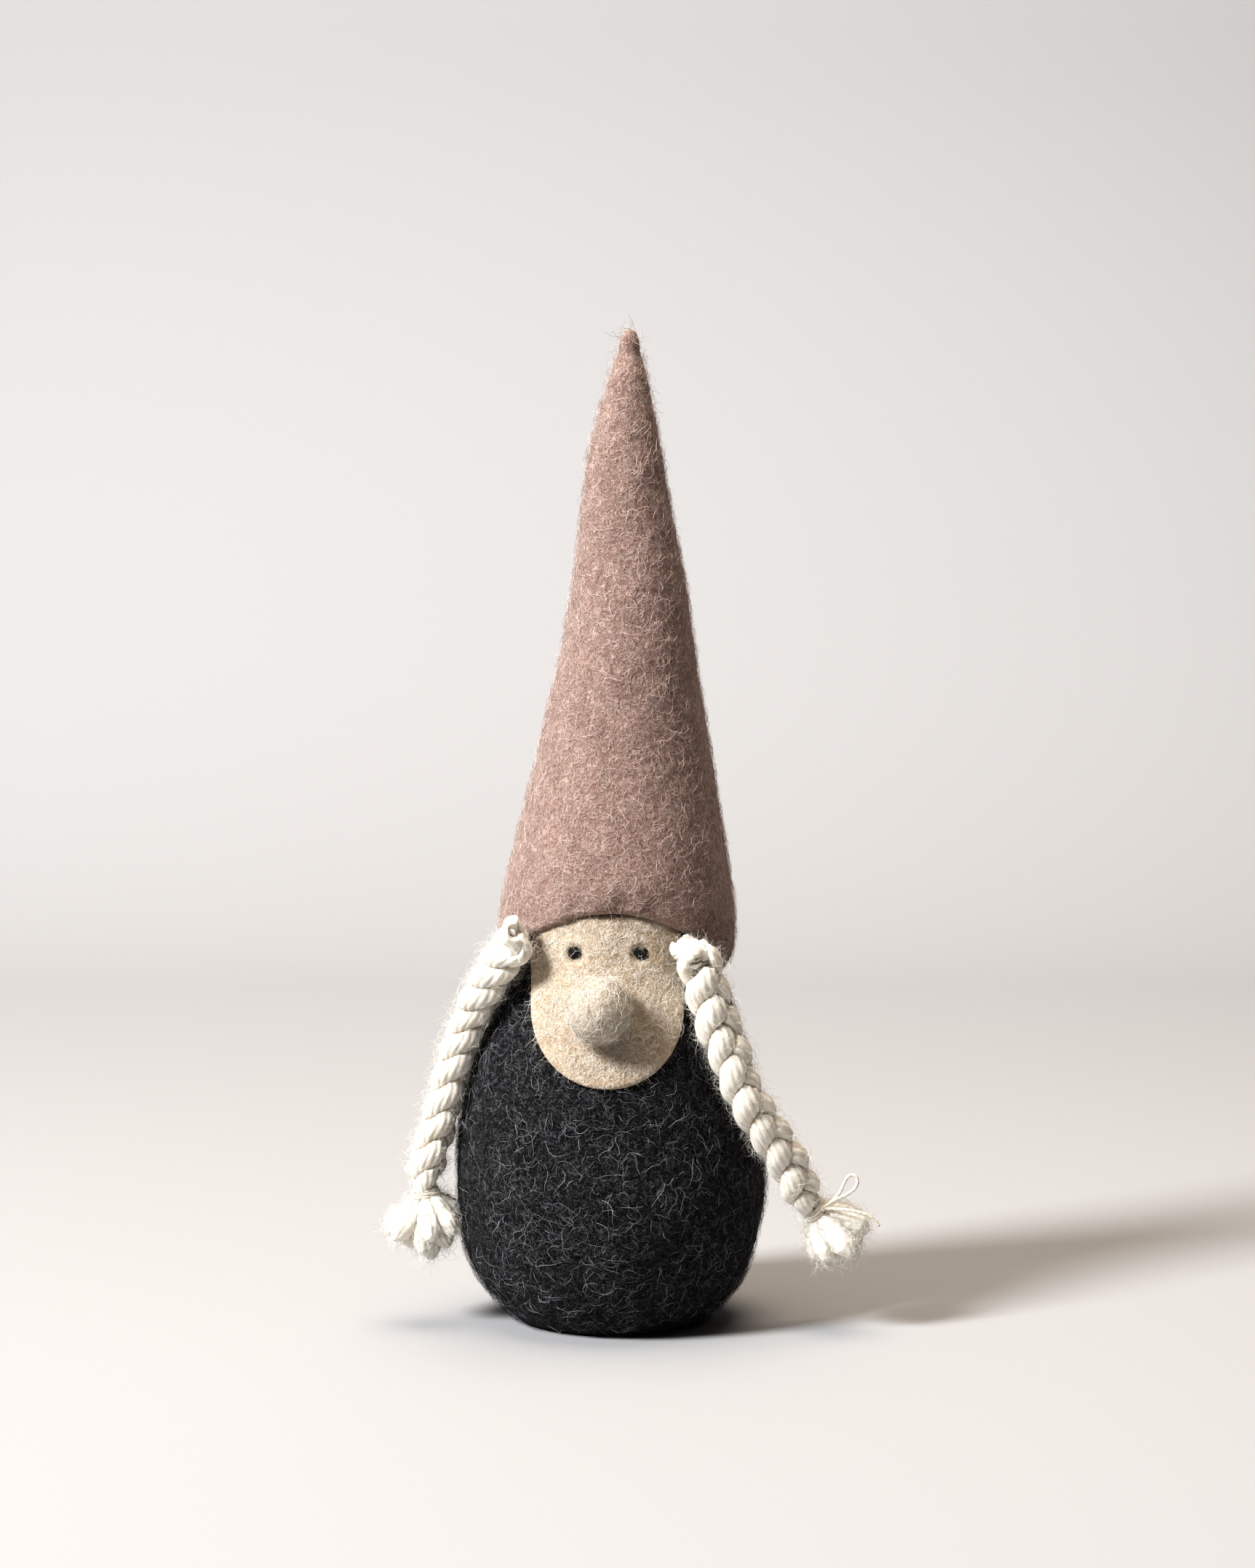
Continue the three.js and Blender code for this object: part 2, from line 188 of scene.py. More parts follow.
def grid_normals(grid):
    """Outward directions of a grid of rings."""
    round_way = np.roll(grid, -1, 1) - np.roll(grid, 1, 1)
    up_way = np.gradient(grid, axis=0)
    return unit(np.cross(round_way, up_way))


def add_object(name, data):
    piece = bpy.data.objects.new(name, data)
    bpy.context.scene.collection.objects.link(piece)
    return piece


def add_mesh(name, verts, faces, uvs=None):
    mesh = bpy.data.meshes.new(name)
    mesh.from_pydata([tuple(v) for v in verts], [], faces)
    if uvs is not None:
        layer = mesh.uv_layers.new(name=BAKE_MAP)
        layer.uv.foreach_set("vector", np.asarray(uvs, np.float32).ravel())
    mesh.polygons.foreach_set("use_smooth", [True] * len(mesh.polygons))
    mesh.update()
    return add_object(name, mesh)


def ring_faces(rows, cols, first=0):
    """Quads between rows of ring points, then triangles that close both ends, with their map."""
    faces, uvs = [], []
    low, high = 0.02, 0.96
    heights = np.linspace(low, high, rows)
    for r in range(rows - 1):
        for c in range(cols):
            d = (c + 1) % cols
            faces.append((first + r * cols + c, first + r * cols + d,
                          first + (r + 1) * cols + d, first + (r + 1) * cols + c))
            u0, u1 = c / cols, (c + 1) / cols
            uvs += [(u0, heights[r]), (u1, heights[r]), (u1, heights[r + 1]), (u0, heights[r + 1])]
    start, end = first + rows * cols, first + rows * cols + 1
    last = first + (rows - 1) * cols
    for c in range(cols):
        d = (c + 1) % cols
        u0, u1 = c / cols, (c + 1) / cols
        faces.append((first + d, first + c, start))
        uvs += [(u1, low), (u0, low), ((u0 + u1) / 2, 0)]
        faces.append((last + c, last + d, end))
        uvs += [(u0, high), (u1, high), ((u0 + u1) / 2, high + low)]
    return faces, uvs


def ring_verts(grid):
    return np.concatenate([grid.reshape(-1, 3), [grid[0].mean(0)], [grid[-1].mean(0)]])


def add_rings(name, *grids):
    """One mesh of one or more closed bodies, each from a grid of rings."""
    verts, faces, uvs, first = [], [], [], 0
    for i, grid in enumerate(grids):
        own_faces, own_uvs = ring_faces(*grid.shape[:2], first)
        own_uvs = np.array(own_uvs)
        own_uvs[:, 0] = (own_uvs[:, 0] * 0.97 + i) / len(grids)
        verts.append(ring_verts(grid))
        first += len(verts[-1])
        faces += own_faces
        uvs.append(own_uvs)
    return add_mesh(name, np.concatenate(verts), faces, np.concatenate(uvs))


def widths(node, heights):
    """Half width and middle of a CAD node at each height, between its outermost walls."""
    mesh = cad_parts[node].data
    walls = BVHTree.FromPolygons([v.co for v in mesh.vertices], [p.vertices for p in mesh.polygons])
    outside, found = 0.5, []
    for z in heights:
        ends = []
        for side in (-1, 1):
            hit = walls.ray_cast(Vector((side * outside, 0, z)), Vector((-side, 0, 0)))[0]
            ends.append(hit.x if hit else 0.0)
        found.append(((ends[1] - ends[0]) / 2, (ends[1] + ends[0]) / 2))
    return np.array(found)


def box_middle(node):
    low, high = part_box(node)
    return np.array((low + high) / 2)


# Outlines that the looks share, read off the CAD solids once.
BODY_HEIGHTS = np.arange(0.3, 140, 1.0) * MM
BODY_RADII = softened(widths("body_skin", BODY_HEIGHTS)[:, 0], 2.2)
HAT_HEIGHTS = np.arange(108, 300, 1.0) * MM
HAT_WIDTHS = widths("hat_shell", HAT_HEIGHTS)
HAT_RADII = softened(HAT_WIDTHS[:, 0], 4)
HAT_LEANS = softened(HAT_WIDTHS[:, 1], 6)


def body_radius(z):
    return np.interp(z, BODY_HEIGHTS, BODY_RADII)


def hat_radius(z):
    return np.interp(z, HAT_HEIGHTS, HAT_RADII)


def hat_lean(z):
    return np.interp(z, HAT_HEIGHTS, HAT_LEANS)


def hem_height(angle):
    return HAT_LOW.z + HEM_RISE * ((1 + np.cos(angle)) / 2) ** 2


def round_at(angle, radius, z, shift=0.0):
    """Points at an angle round from the face, a radius and a height."""
    x = np.sin(angle) * radius + shift
    y = -np.cos(angle) * radius
    return np.stack(np.broadcast_arrays(x, y, z), -1)


def face_share(angle, z):
    """1 where the felt face covers the body, falling to 0 past its edge."""
    edge = 0.14  # the share of its half width over which it thins out
    across = np.abs(np.sin(angle) * body_radius(z) - FACE_CENTRE) / FACE_HALF
    return 1 - smooth((across - 0.86) / edge)


def hem_radius(angle):
    """How wide the head is under the hem, with the face's felt where that lies between."""
    hem = hem_height(angle)
    return body_radius(hem) + face_share(angle, hem) * (FACE_THICK + 2.0 * MM)


# ---- loose wool fibres --------------------------------------------------------------------------


def scatter(grid, count, rng, keep=None):
    """Random places on a grid of rings, with outward and lengthwise directions, even by area."""
    a, b = grid[:-1], np.roll(grid, -1, 1)[:-1]
    c, d = np.roll(grid, -1, 1)[1:], grid[1:]
    area = np.linalg.norm(np.cross(c - a, d - b), axis=-1) / 2
    middle = (a + b + c + d) / 4
    if keep is not None:
        area = area * keep(middle)
    chosen = rng.choice(area.size, count, p=(area / area.sum()).ravel())
    r, k = np.unravel_index(chosen, area.shape)
    u, v = rng.random((2, count, 1))
    low = mix(a[r, k], b[r, k], u)
    high = mix(d[r, k], c[r, k], u)
    normal = unit(np.cross(b[r, k] - a[r, k], d[r, k] - a[r, k]) + 1e-12)
    return mix(low, high, v), normal, unit(high - low + 1e-9)


def fibre_lines(rng, roots, normals, lengthwise, length, curl, lift, spread, free, steps):
    """Curling lines that start on the surface. spread is how far they stray from lengthwise, in
    radians, and free is the share of them whose far end stands up."""
    count = len(roots)
    side = unit(np.cross(normals, lengthwise))
    ahead = np.cross(side, normals)
    lengths = length * rng.uniform(0.45, 1.35, count)
    heading = rng.uniform(-spread, spread, count) + math.pi * (rng.random(count) < 0.5)
    turn = rng.normal(0, curl, count)
    wave = rng.uniform(0.3, 1.1, count)
    phase = rng.uniform(0, FULL_TURN, count)
    t = np.linspace(0, 1, steps + 1)
    way = heading[:, None] + turn[:, None] * t + wave[:, None] * np.sin(5 * t + phase[:, None])
    step = lengths[:, None] / steps
    x = np.cumsum(np.cos(way) * step, 1) - np.cos(way[:, :1]) * step
    y = np.cumsum(np.sin(way) * step, 1) - np.sin(way[:, :1]) * step
    arch = np.sin(math.pi * np.clip(t * 1.05, 0, 1))
    rise = t ** 1.5
    stands = (rng.random(count) < free)[:, None]
    height = np.where(stands, rise, arch) * (lift * rng.uniform(0.3, 1.4, count))[:, None]
    line = roots[:, None] + ahead[:, None] * x[..., None] + side[:, None] * y[..., None]
    return line + normals[:, None] * height[..., None]


def add_fibres(name, rng, lines, width):
    """Thin flat ribbons along lines, each with its own patch of the map and its own shade."""
    count, points = lines.shape[:2]
    along = unit(np.gradient(lines, axis=1))
    tilt = unit(rng.normal(size=(count, 1, 3)))
    taper = 1 - 0.65 * np.linspace(0, 1, points) ** 2
    widths_here = width * rng.uniform(0.6, 1.3, count)[:, None] * taper
    across = unit(np.cross(along, tilt)) * widths_here[..., None] / 2
    verts = np.stack([lines - across, lines + across], 2).reshape(-1, 3)
    base = (np.arange(count) * points * 2)[:, None]
    j = np.arange(points - 1) * 2
    quads = np.stack([base + j, base + j + 1, base + j + 3, base + j + 2], -1).reshape(-1, 4)
    mesh = bpy.data.meshes.new(name)
    mesh.vertices.add(len(verts))
    mesh.vertices.foreach_set("co", verts.astype(np.float32).ravel())
    mesh.loops.add(quads.size)
    mesh.loops.foreach_set("vertex_index", quads.astype(np.int32).ravel())
    mesh.polygons.add(len(quads))
    mesh.polygons.foreach_set("loop_start", np.arange(0, quads.size, 4, dtype=np.int32))
    mesh.polygons.foreach_set("use_smooth", np.ones(len(quads), bool))
    side = math.ceil(math.sqrt(count))
    cell = np.stack([np.arange(count) % side, np.arange(count) // side], -1)[:, None, None]
    reach = np.linspace(0.08, 0.92, points)
    near = np.stack([reach[:-1], reach[1:]], -1)
    corner = np.stack([
        np.stack([near[:, 0], np.full(points - 1, 0.1)], -1),
        np.stack([near[:, 0], np.full(points - 1, 0.9)], -1),
        np.stack([near[:, 1], np.full(points - 1, 0.9)], -1),
        np.stack([near[:, 1], np.full(points - 1, 0.1)], -1),
    ], 1)
    uvs = (cell + corner[None]) / side
    mesh.uv_layers.new(name=BAKE_MAP).uv.foreach_set("vector", uvs.astype(np.float32).ravel())
    shade = mesh.attributes.new("shade", "FLOAT", "POINT")
    shade.data.foreach_set("value", np.repeat(rng.random(count), points * 2).astype(np.float32))
    mesh.update(calc_edges=True)
    mesh.validate()
    return add_object(name, mesh)


def fuzz(name, grids, count, seed, length, width, curl=1.6, lift=0.8 * MM, spread=math.pi,
         free=0.3, keep=None, steps=5):
    """Loose fibres over one or more grids of rings."""
    rng = np.random.default_rng(seed)
    areas = np.array([np.linalg.norm(np.ptp(g.reshape(-1, 3), axis=0)) for g in grids])
    shares = np.maximum((count * areas / areas.sum()).astype(int), 1)
    lines = []
    for grid, share in zip(grids, shares):
        roots, normals, lengthwise = scatter(grid, share, rng, keep)
        lines.append(fibre_lines(
            rng, roots, normals, lengthwise, length, curl, lift, spread, free, steps
        ))
    lines = np.concatenate(lines)
    lines[..., 2] = np.maximum(lines[..., 2], FIBRE_FLOOR)
    return add_fibres(name, rng, lines, width)


# ---- finishes -----------------------------------------------------------------------------------


def add_node(tree, kind, inputs=None, **settings):
    node = tree.nodes.new(kind)
    for key, value in settings.items():
        setattr(node, key, value)
    for key, value in (inputs or {}).items():
        if isinstance(value, bpy.types.NodeSocket):
            tree.links.new(value, node.inputs[key])
        else:
            node.inputs[key].default_value = value
    return node


def maths(tree, operation, a, b=0.0):
    return add_node(tree, "ShaderNodeMath", {0: a, 1: b}, operation=operation).outputs[0]


def times(tree, a, b):
    return maths(tree, "MULTIPLY", a, b)


def attribute(tree, name, part="Fac"):
    """What a mesh says of itself at each vertex."""
    return add_node(tree, "ShaderNodeAttribute", attribute_name=name).outputs[part]


def mixed(tree, share, a, b):
    """Colour b over colour a by share. A colour is a socket or red, green and blue."""
    whole = [c if isinstance(c, bpy.types.NodeSocket) else (*c[:3], 1.0) for c in (a, b)]
    node = add_node(tree, "ShaderNodeMix", {"Factor": share}, data_type="RGBA")
    for key, value in zip((6, 7), whole):
        if isinstance(value, bpy.types.NodeSocket):
            tree.links.new(value, node.inputs[key])
        else:
            node.inputs[key].default_value = value
    return node.outputs[2]


def ramp(tree, value, low, high, start=0.0, end=1.0):
    node = add_node(
        tree, "ShaderNodeMapRange",
        {"Value": value, "From Min": low, "From Max": high, "To Min": start, "To Max": end},
        interpolation_type="SMOOTHSTEP",
    )
    return node.outputs[0]


def places(tree, shift=0.0, stretch=(1, 1, 1)):
    coords = add_node(tree, "ShaderNodeTexCoord").outputs["Object"]
    moved = {"Vector": coords, "Location": (shift, shift * 0.7, shift * 1.3), "Scale": stretch}
    return add_node(tree, "ShaderNodeMapping", moved).outputs[0]


def cloud(tree, size, shift=0.0, detail=2.0, stretch=(1, 1, 1), rough=0.5, warp=0.0):
    inputs = {
        "Vector": places(tree, shift, stretch), "Scale": 1 / size, "Detail": detail,
        "Roughness": rough, "Distortion": warp,
    }
    return add_node(tree, "ShaderNodeTexNoise", inputs).outputs["Fac"]


def hairs(tree, size, thick, shift, broken=0.5, warp=0.6):
    """Thin curling lines, like loose fibres lying on felt: 1 on a line and 0 off it."""
    field = cloud(tree, size, shift, detail=1.0, warp=warp)
    off_line = maths(tree, "ABSOLUTE", maths(tree, "SUBTRACT", field, 0.5))
    line = ramp(tree, off_line, 0.0, 1.3 * thick / size, 1.0, 0.0)
    gaps = ramp(tree, cloud(tree, size * 1.4, shift + 0.31), broken - 0.06, broken + 0.06)
    return times(tree, line, gaps)


def new_finish(name, colour, roughness, sheen, sheen_tint=(1, 1, 1), sheen_rough=0.5):
    material = bpy.data.materials.new(name)
    material.use_nodes = True
    tree = material.node_tree
    skin = tree.nodes["Principled BSDF"]
    skin.inputs["Base Color"].default_value = (*colour[:3], 1.0)
    skin.inputs["Roughness"].default_value = roughness
    skin.inputs["Specular IOR Level"].default_value = 0.15
    skin.inputs["Sheen Weight"].default_value = sheen
    skin.inputs["Sheen Roughness"].default_value = sheen_rough
    skin.inputs["Sheen Tint"].default_value = (*sheen_tint[:3], 1.0)
    material.diffuse_color = (*colour[:3], 1.0)
    return material, tree, skin


def join_relief(tree, skin, colour, height, relief):
    """Gives a finish its colour, and a fine relief as deep as relief."""
    tree.links.new(colour, skin.inputs["Base Color"])
    bump = add_node(tree, "ShaderNodeBump", {"Height": height, "Distance": relief, "Strength": 1.0})
    tree.links.new(bump.outputs[0], skin.inputs["Normal"])


def felt_finish(name, deep, middle, pale, grain=1.0 * MM, pale_share=0.6, dark_share=0.5,
                melange=0.4, relief=0.35 * MM, sheen=0.35, sheen_tint=(1, 1, 1)):
    """Wool felt: a mottled ground with dark and pale fibres lying over each other."""
    material, tree, skin = new_finish(name, middle, 0.9, sheen, sheen_tint)
    patches = ramp(tree, cloud(tree, 9 * grain, 0.1, detail=4, rough=0.6), 0.36, 0.66)
    fine = cloud(tree, 0.8 * grain, 0.2, detail=4, rough=0.75)
    ground = mixed(tree, times(tree, patches, 0.5), middle, deep)
    ground = mixed(tree, ramp(tree, fine, 0.62, 0.36, 0.0, 0.75), ground, deep)
    ground = mixed(tree, ramp(tree, fine, 0.5, 0.72, 0.0, melange), ground, pale)
    dark_lines = hairs(tree, 1.9 * grain, 0.13 * grain, 0.4, broken=0.5)
    ground = mixed(tree, times(tree, dark_lines, dark_share), ground, deep)
    pales = hairs(tree, 2.3 * grain, 0.075 * grain, 0.6, broken=0.45)
    # Each further layer of pale fibres: size, thickness, shift and where its fibres break off.
    layers = ((1.5, 0.06, 0.9, 0.48), (3.4, 0.07, 1.7, 0.5), (4.9, 0.085, 2.3, 0.52))
    for size, thick, shift, broken in layers:
        layer = hairs(tree, size * grain, thick * grain, shift, broken)
        pales = maths(tree, "MAXIMUM", pales, layer)
    colour = mixed(tree, times(tree, pales, pale_share), ground, pale)
    height = maths(tree, "ADD", times(tree, fine, 0.9), times(tree, pales, 0.35))
    height = maths(tree, "ADD", height, times(tree, cloud(tree, 2.8 * grain, 0.5), 0.8))
    join_relief(tree, skin, colour, height, relief)
    return material


def lay_noise(tree, size, stretch, detail, rough):
    """Noise drawn out along the wool of a strand, following its twist."""
    inputs = {"Vector": attribute(tree, "lay", "Vector"), "Scale": (1, 1, 1 / stretch)}
    drawn = add_node(tree, "ShaderNodeMapping", inputs).outputs[0]
    inputs = {"Vector": drawn, "Scale": 1 / size, "Detail": detail, "Roughness": rough}
    return add_node(tree, "ShaderNodeTexNoise", inputs).outputs["Fac"]


def roving_finish(name, pale, tan, relief=0.3 * MM):
    """Undyed roving: long soft fibres along each strand, tan where it is weathered, and tan as
    painted shade where strands press together and in the grooves between plies.
    """
    material, tree, skin = new_finish(name, pale, 0.85, 0.4, (1, 0.97, 0.9))
    skin.inputs["Subsurface Weight"].default_value = 0.4
    skin.inputs["Subsurface Scale"].default_value = 4 * MM
    skin.inputs["Subsurface Radius"].default_value = (1.0, 0.85, 0.65)
    fibres = lay_noise(tree, 0.9 * MM, 14, 4, 0.7)
    hair = lay_noise(tree, 0.35 * MM, 22, 2, 0.6)
    weather = ramp(tree, cloud(tree, 11 * MM, 0.3, detail=3), 0.54, 0.78, 0.0, 0.35)
    uneven = ramp(tree, cloud(tree, 7 * MM, 1.3, detail=3), 0.3, 0.62, 0.15, 1.0)
    # Painted shade: the vertex attribute read here turns the wool tan where strands press together
    # and in the grooves between plies; the weathering is the wool's own tone.
    weather_and_shade = maths(tree, "MAXIMUM", weather, times(tree, attribute(tree, "crease"), uneven))
    weather_and_shade = times(tree, weather_and_shade, ramp(tree, fibres, 0.3, 0.6, 0.4, 1.0))
    colour = mixed(tree, weather_and_shade, pale, tan)
    colour = mixed(tree, ramp(tree, hair, 0.54, 0.74, 0.0, 0.22), colour, tan)
    height = maths(tree, "ADD", fibres, times(tree, hair, 0.5))
    join_relief(tree, skin, colour, height, relief)
    return material


def fibre_finish(name, deep, pale, pale_from=0.4, pale_to=0.8, sheen=0.2):
    """Single loose fibres, each of its own shade between two colours."""
    material, tree, skin = new_finish(name, pale, 0.75, sheen)
    share = ramp(tree, attribute(tree, "shade"), pale_from, pale_to)
    tree.links.new(mixed(tree, share, deep, pale), skin.inputs["Base Color"])
    return material


def thread_finish(name, colour, groove):
    """Twisted thread, with painted shade in the grooves between its plies."""
    material, tree, skin = new_finish(name, colour, 0.8, 0.25)
    twist = cloud(tree, 0.35 * MM, 0.4, detail=2)
    speck = cloud(tree, 0.9 * MM, 0.2, detail=3)
    # Painted shade: the colour goes towards the groove colour in the grooves between the plies.
    groove_shades = ramp(tree, twist, 0.45, 0.6, 0.5, 0.0)
    shade = times(tree, groove_shades, ramp(tree, speck, 0.3, 0.6, 0.5, 1.0))
    join_relief(tree, skin, mixed(tree, shade, colour, groove), twist, 0.12 * MM)
    return material


def darker(colour, share):
    return [c * share for c in colour[:3]]


def stuffing_finish(name, colour):
    """Teased wool stuffing, out of sight inside the gnome."""
    return felt_finish(name, darker(colour, 0.75), colour, [min(c * 1.2, 1) for c in colour[:3]])


def paper_finish(name, colour):
    material, tree, skin = new_finish(name, colour, 0.9, 0.0)
    soft = ramp(tree, cloud(tree, 0.25, 0.0, detail=2), 0.3, 0.7, 0.0, 0.03)
    tree.links.new(mixed(tree, soft, colour, darker(colour, 0.93)), skin.inputs["Base Color"])
    return material


def dress(piece, material, body, slot, *replaced):
    """Gives a piece its finish, the CAD body it rides on and the nodes that it stands for."""
    piece.data.materials.clear()
    piece.data.materials.append(material)
    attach(piece, body)
    if replaced:
        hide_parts(*replaced)
    return piece


def finish_node(node, material):
    """Gives a CAD node that stays as it is a better finish."""
    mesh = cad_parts[node].data
    mesh.materials.clear()
    mesh.materials.append(material)


# ---- settings -----------------------------------------------------------------------------------


def colour_of(name, default, text):
    return FloatVectorProperty(
        name=name, description=text, subtype="COLOR", size=3, min=0, max=1, default=default
    )


def length_of(name, default, text):
    return FloatProperty(name=name, description=text, default=default, min=0, unit="LENGTH")


class GnomeFeltSettings(bpy.types.PropertyGroup):
    """The felt body and its loose fibres"""

    deep: colour_of("Ground", (0.002, 0.002, 0.0025), "Darkest wool in the body")
    middle: colour_of("Wool", (0.006, 0.006, 0.0075), "Main wool of the body")
    pale: colour_of("Pale fibres", (0.46, 0.465, 0.49), "Pale fibres in the body")
    fibres: IntProperty(
        name="Loose fibres", description="Loose fibres on the body", default=19000, min=0
    )
    fibre_length: length_of("Fibre length", 7.5 * MM, "Typical length of a loose fibre on the body")
    core: colour_of("Stuffing", (0.62, 0.58, 0.5), "Undyed wool inside the body and the hat")


class GnomeHatSettings(bpy.types.PropertyGroup):
    """The hat"""

    deep: colour_of("Ground", (0.16, 0.092, 0.073), "Darkest wool in the hat")
    middle: colour_of("Wool", (0.335, 0.222, 0.185), "Main wool of the hat")
    pale: colour_of("Pale fibres", (0.66, 0.54, 0.49), "Pale fibres in the hat")
    fibres: IntProperty(
        name="Loose fibres", description="Loose fibres on the hat", default=19000, min=0
    )
    fibre_length: length_of("Fibre length", 6.5 * MM, "Typical length of a loose fibre on the hat")
    wall: length_of("Wall", 4 * MM, "Thickness of the hat's felt")
    hem_round: length_of("Hem rounding", 5 * MM, "Height over which the hem curves in to the head")


class GnomeFaceSettings(bpy.types.PropertyGroup):
    """The felt face, the nose and the eyes"""

    deep: colour_of("Tan fibres", (0.36, 0.25, 0.15), "Tan wool in the face")
    middle: colour_of("Wool", (0.55, 0.475, 0.375), "Main wool of the face")
    pale: colour_of("Pale fibres", (0.78, 0.745, 0.675), "Pale fibres in the face")
    tint: colour_of("Loose tan fibres", (0.56, 0.42, 0.28), "Tan fibres lying on the face")
    nose: colour_of("Nose", (0.49, 0.415, 0.33), "Wool of the nose")
    eye: colour_of("Eyes", (0.008, 0.008, 0.008), "Wool of the eyes")
    pit: length_of("Eye pit", 1.1 * MM, "Depth of the hollow that each eye sits in")


class GnomeBraidSettings(bpy.types.PropertyGroup):
    """The two braids, their tassels and strings"""

    pale: colour_of("Wool", (0.81, 0.78, 0.71), "Undyed roving")
    # Tan of weathered wool and streaks, also used as painted shade in the creases and ply grooves.
    tan: colour_of("Creases", (0.60, 0.46, 0.31), "Wool in the creases")
    string: colour_of("String", (0.80, 0.74, 0.62), "Cotton string")
    width: length_of("Width", 13.2 * MM, "Width of a braid across its strands")
    depth: length_of("Depth", 11.4 * MM, "Thickness of a braid")
    period: length_of("Plait length", 28.5 * MM, "Length in which a strand crosses over and back")
    twist: FloatProperty(
        name="Twist", description="Turn of each strand's wool, in radians per metre", default=125
    )


class GnomeStageSettings(bpy.types.PropertyGroup):
    """Camera, lights and backdrop"""

    lens: FloatProperty(name="Lens", description="Focal length in millimetres", default=96.2)
    distance: length_of("Distance", 1.258, "Camera distance in front of the gnome")
    height: length_of("Height", 0.273, "Camera height")
    aside: FloatProperty(
        name="Aside", description="Camera shift to the right", default=0.005, unit="LENGTH"
    )
    down: FloatProperty(
        name="Down", description="How far the camera looks down", default=math.radians(5),
        subtype="ANGLE",
    )
    key: FloatProperty(name="Key light", description="Power of the key light in watts", default=180)
    top: FloatProperty(
        name="Top light", description="Power of the overhead light in watts", default=22
    )
    wash: FloatProperty(
        name="Backdrop light", description="Power of the backdrop's own light in watts", default=0.9
    )
    paper: colour_of("Paper", (0.36, 0.362, 0.37), "Backdrop paper")


# ---- pieces -------------------------------------------------------------------------------------


def body_grid():
    """The body from under its standing face to its neck, which the hat hides."""
    foot = [(r, 0.0) for r in np.linspace(1.2, 27.2, 20) * MM]
    side = [(r, z) for z, r in zip(BODY_HEIGHTS, BODY_RADII) if z > 1.2 * MM]
    neck = [(10 * MM, NECK_TOP)]
    line, _ = resampled(foot + side + neck, 1.1 * MM)
    line = softened(line, 1.5)
    angle = np.linspace(0, FULL_TURN, BODY_COLUMNS, endpoint=False)
    grid = round_at(angle[None], line[:, :1], line[:, 1:])
    clear_of_floor = smooth(grid[..., 2] / (6 * MM))
    push = layered(grid, (22, 0.5, 1), (6, 0.28, 2), (2.4, 0.14, 3)) * clear_of_floor
    grid = grid + grid_normals(grid) * push[..., None]
    grid[..., 2] = np.maximum(grid[..., 2], 0)
    return grid


def tufted(points):
    """How thick the loose fibres are on the body: in drifts, and none under it or under the hat."""
    lowest, highest = 1.5 * MM, 118 * MM
    drifts = 0.12 + smooth(0.5 + lumps(points, 15 * MM, 1.1, 14) + lumps(points, 5 * MM, 0.6, 15))
    return drifts * (points[..., 2] > lowest) * (points[..., 2] < highest)


def make_body(settings):
    grid = body_grid()
    felt = felt_finish(
        "charcoal felt", settings.deep, settings.middle, settings.pale, 0.7 * MM, pale_share=0.16,
        dark_share=0.6, melange=0.02, relief=0.45 * MM, sheen=0.0, sheen_tint=(0.8, 0.85, 1),
    )
    body = dress(add_rings("body_felt", grid), felt, "gnome", "body_felt", "body_skin")
    loose = fuzz(
        "body_fibres", [grid], settings.fibres, 11, settings.fibre_length, 0.08 * MM, curl=1.4,
        lift=0.9 * MM, free=0.25, keep=tufted,
    )
    wool = fibre_finish("charcoal fibres", settings.middle, settings.pale, 0.58, 1.08, sheen=0.0)
    dress(loose, wool, "gnome", "body_felt")
    stuffing = stuffing_finish("wool stuffing", settings.core)
    for node in ("body_core", "hat_stuffing"):
        finish_node(node, stuffing)


def hat_outside(settings, angle, z):
    """The hat's outer face at a height: it curves in to the head just above the hem."""
    above = np.clip((z - HAT_TIP) / TIP_ROUND + 1, 0, 1)
    blunt = hat_radius(np.minimum(z, HAT_TIP - TIP_ROUND)) * np.sqrt(1 - above**2)
    outer = round_at(angle, np.maximum(blunt, 0.05 * MM), z, hat_lean(z))
    touch = round_at(angle, hem_radius(angle) + 0.9 * MM, z)
    reach = settings.hem_round * (1 + 1.3 * (1 + np.cos(angle)) / 2)
    back = np.clip(1 - (z - hem_height(angle)) / reach, 0, 1)
    return mix(touch, outer, np.sqrt(1 - back**2)[..., None])


def hat_grid(settings):
    """The hat's felt, from its inner point down to the hem and up the outside to its tip."""
    angle = np.linspace(-math.pi, math.pi, HAT_COLUMNS, endpoint=False)[None]
    hem = hem_height(angle)
    thinnest, narrowest = 1.0 * MM, 0.6 * MM
    rows = []
    for t in np.linspace(0.93, 0.03, 26):
        z = mix(hem, HAT_TIP, t)
        head = np.where(z < NECK_TOP, body_radius(z) + 0.4 * MM, 0)
        inside = np.maximum(hat_radius(z) - settings.wall, head)
        inside = np.minimum(inside, hat_radius(z) - thinnest)
        rows.append(round_at(angle, np.maximum(inside, narrowest), z, hat_lean(z)))
    for inset, rise in ((-0.4, 1.6), (-0.3, 0.5), (0.2, 0.0), (0.8, 0.05)):
        rows.append(round_at(angle, hem_radius(angle) + inset * MM, hem + rise * MM))
    for t in np.linspace(0, 1, 200)[1:] ** 1.02:
        rows.append(hat_outside(settings, angle, mix(hem, HAT_TIP, t)))
    grid = np.concatenate(rows)
    outside = (np.arange(len(grid)) > HAT_HIDDEN_ROWS)[:, None]
    push = layered(grid, (34, 0.9, 4), (9, 0.35, 5), (2.6, 0.16, 6))
    push = push * outside - stitch_dents(settings, grid)
    return grid + grid_normals(grid) * push[..., None]


def stitch_dents(settings, points):
    """How far the sewing pulls the hat in at each point."""
    dent, wide, depth = np.zeros(points.shape[:-1]), 3.4 * MM, 1.3 * MM
    for degrees in STITCH_ANGLES:
        angle = np.radians(degrees)
        middle = hat_outside(settings, angle, hem_height(angle) + STITCH_RISE)
        far = np.linalg.norm(points - middle, axis=-1) / wide
        dent += depth * np.exp(-(far**2))
    return dent


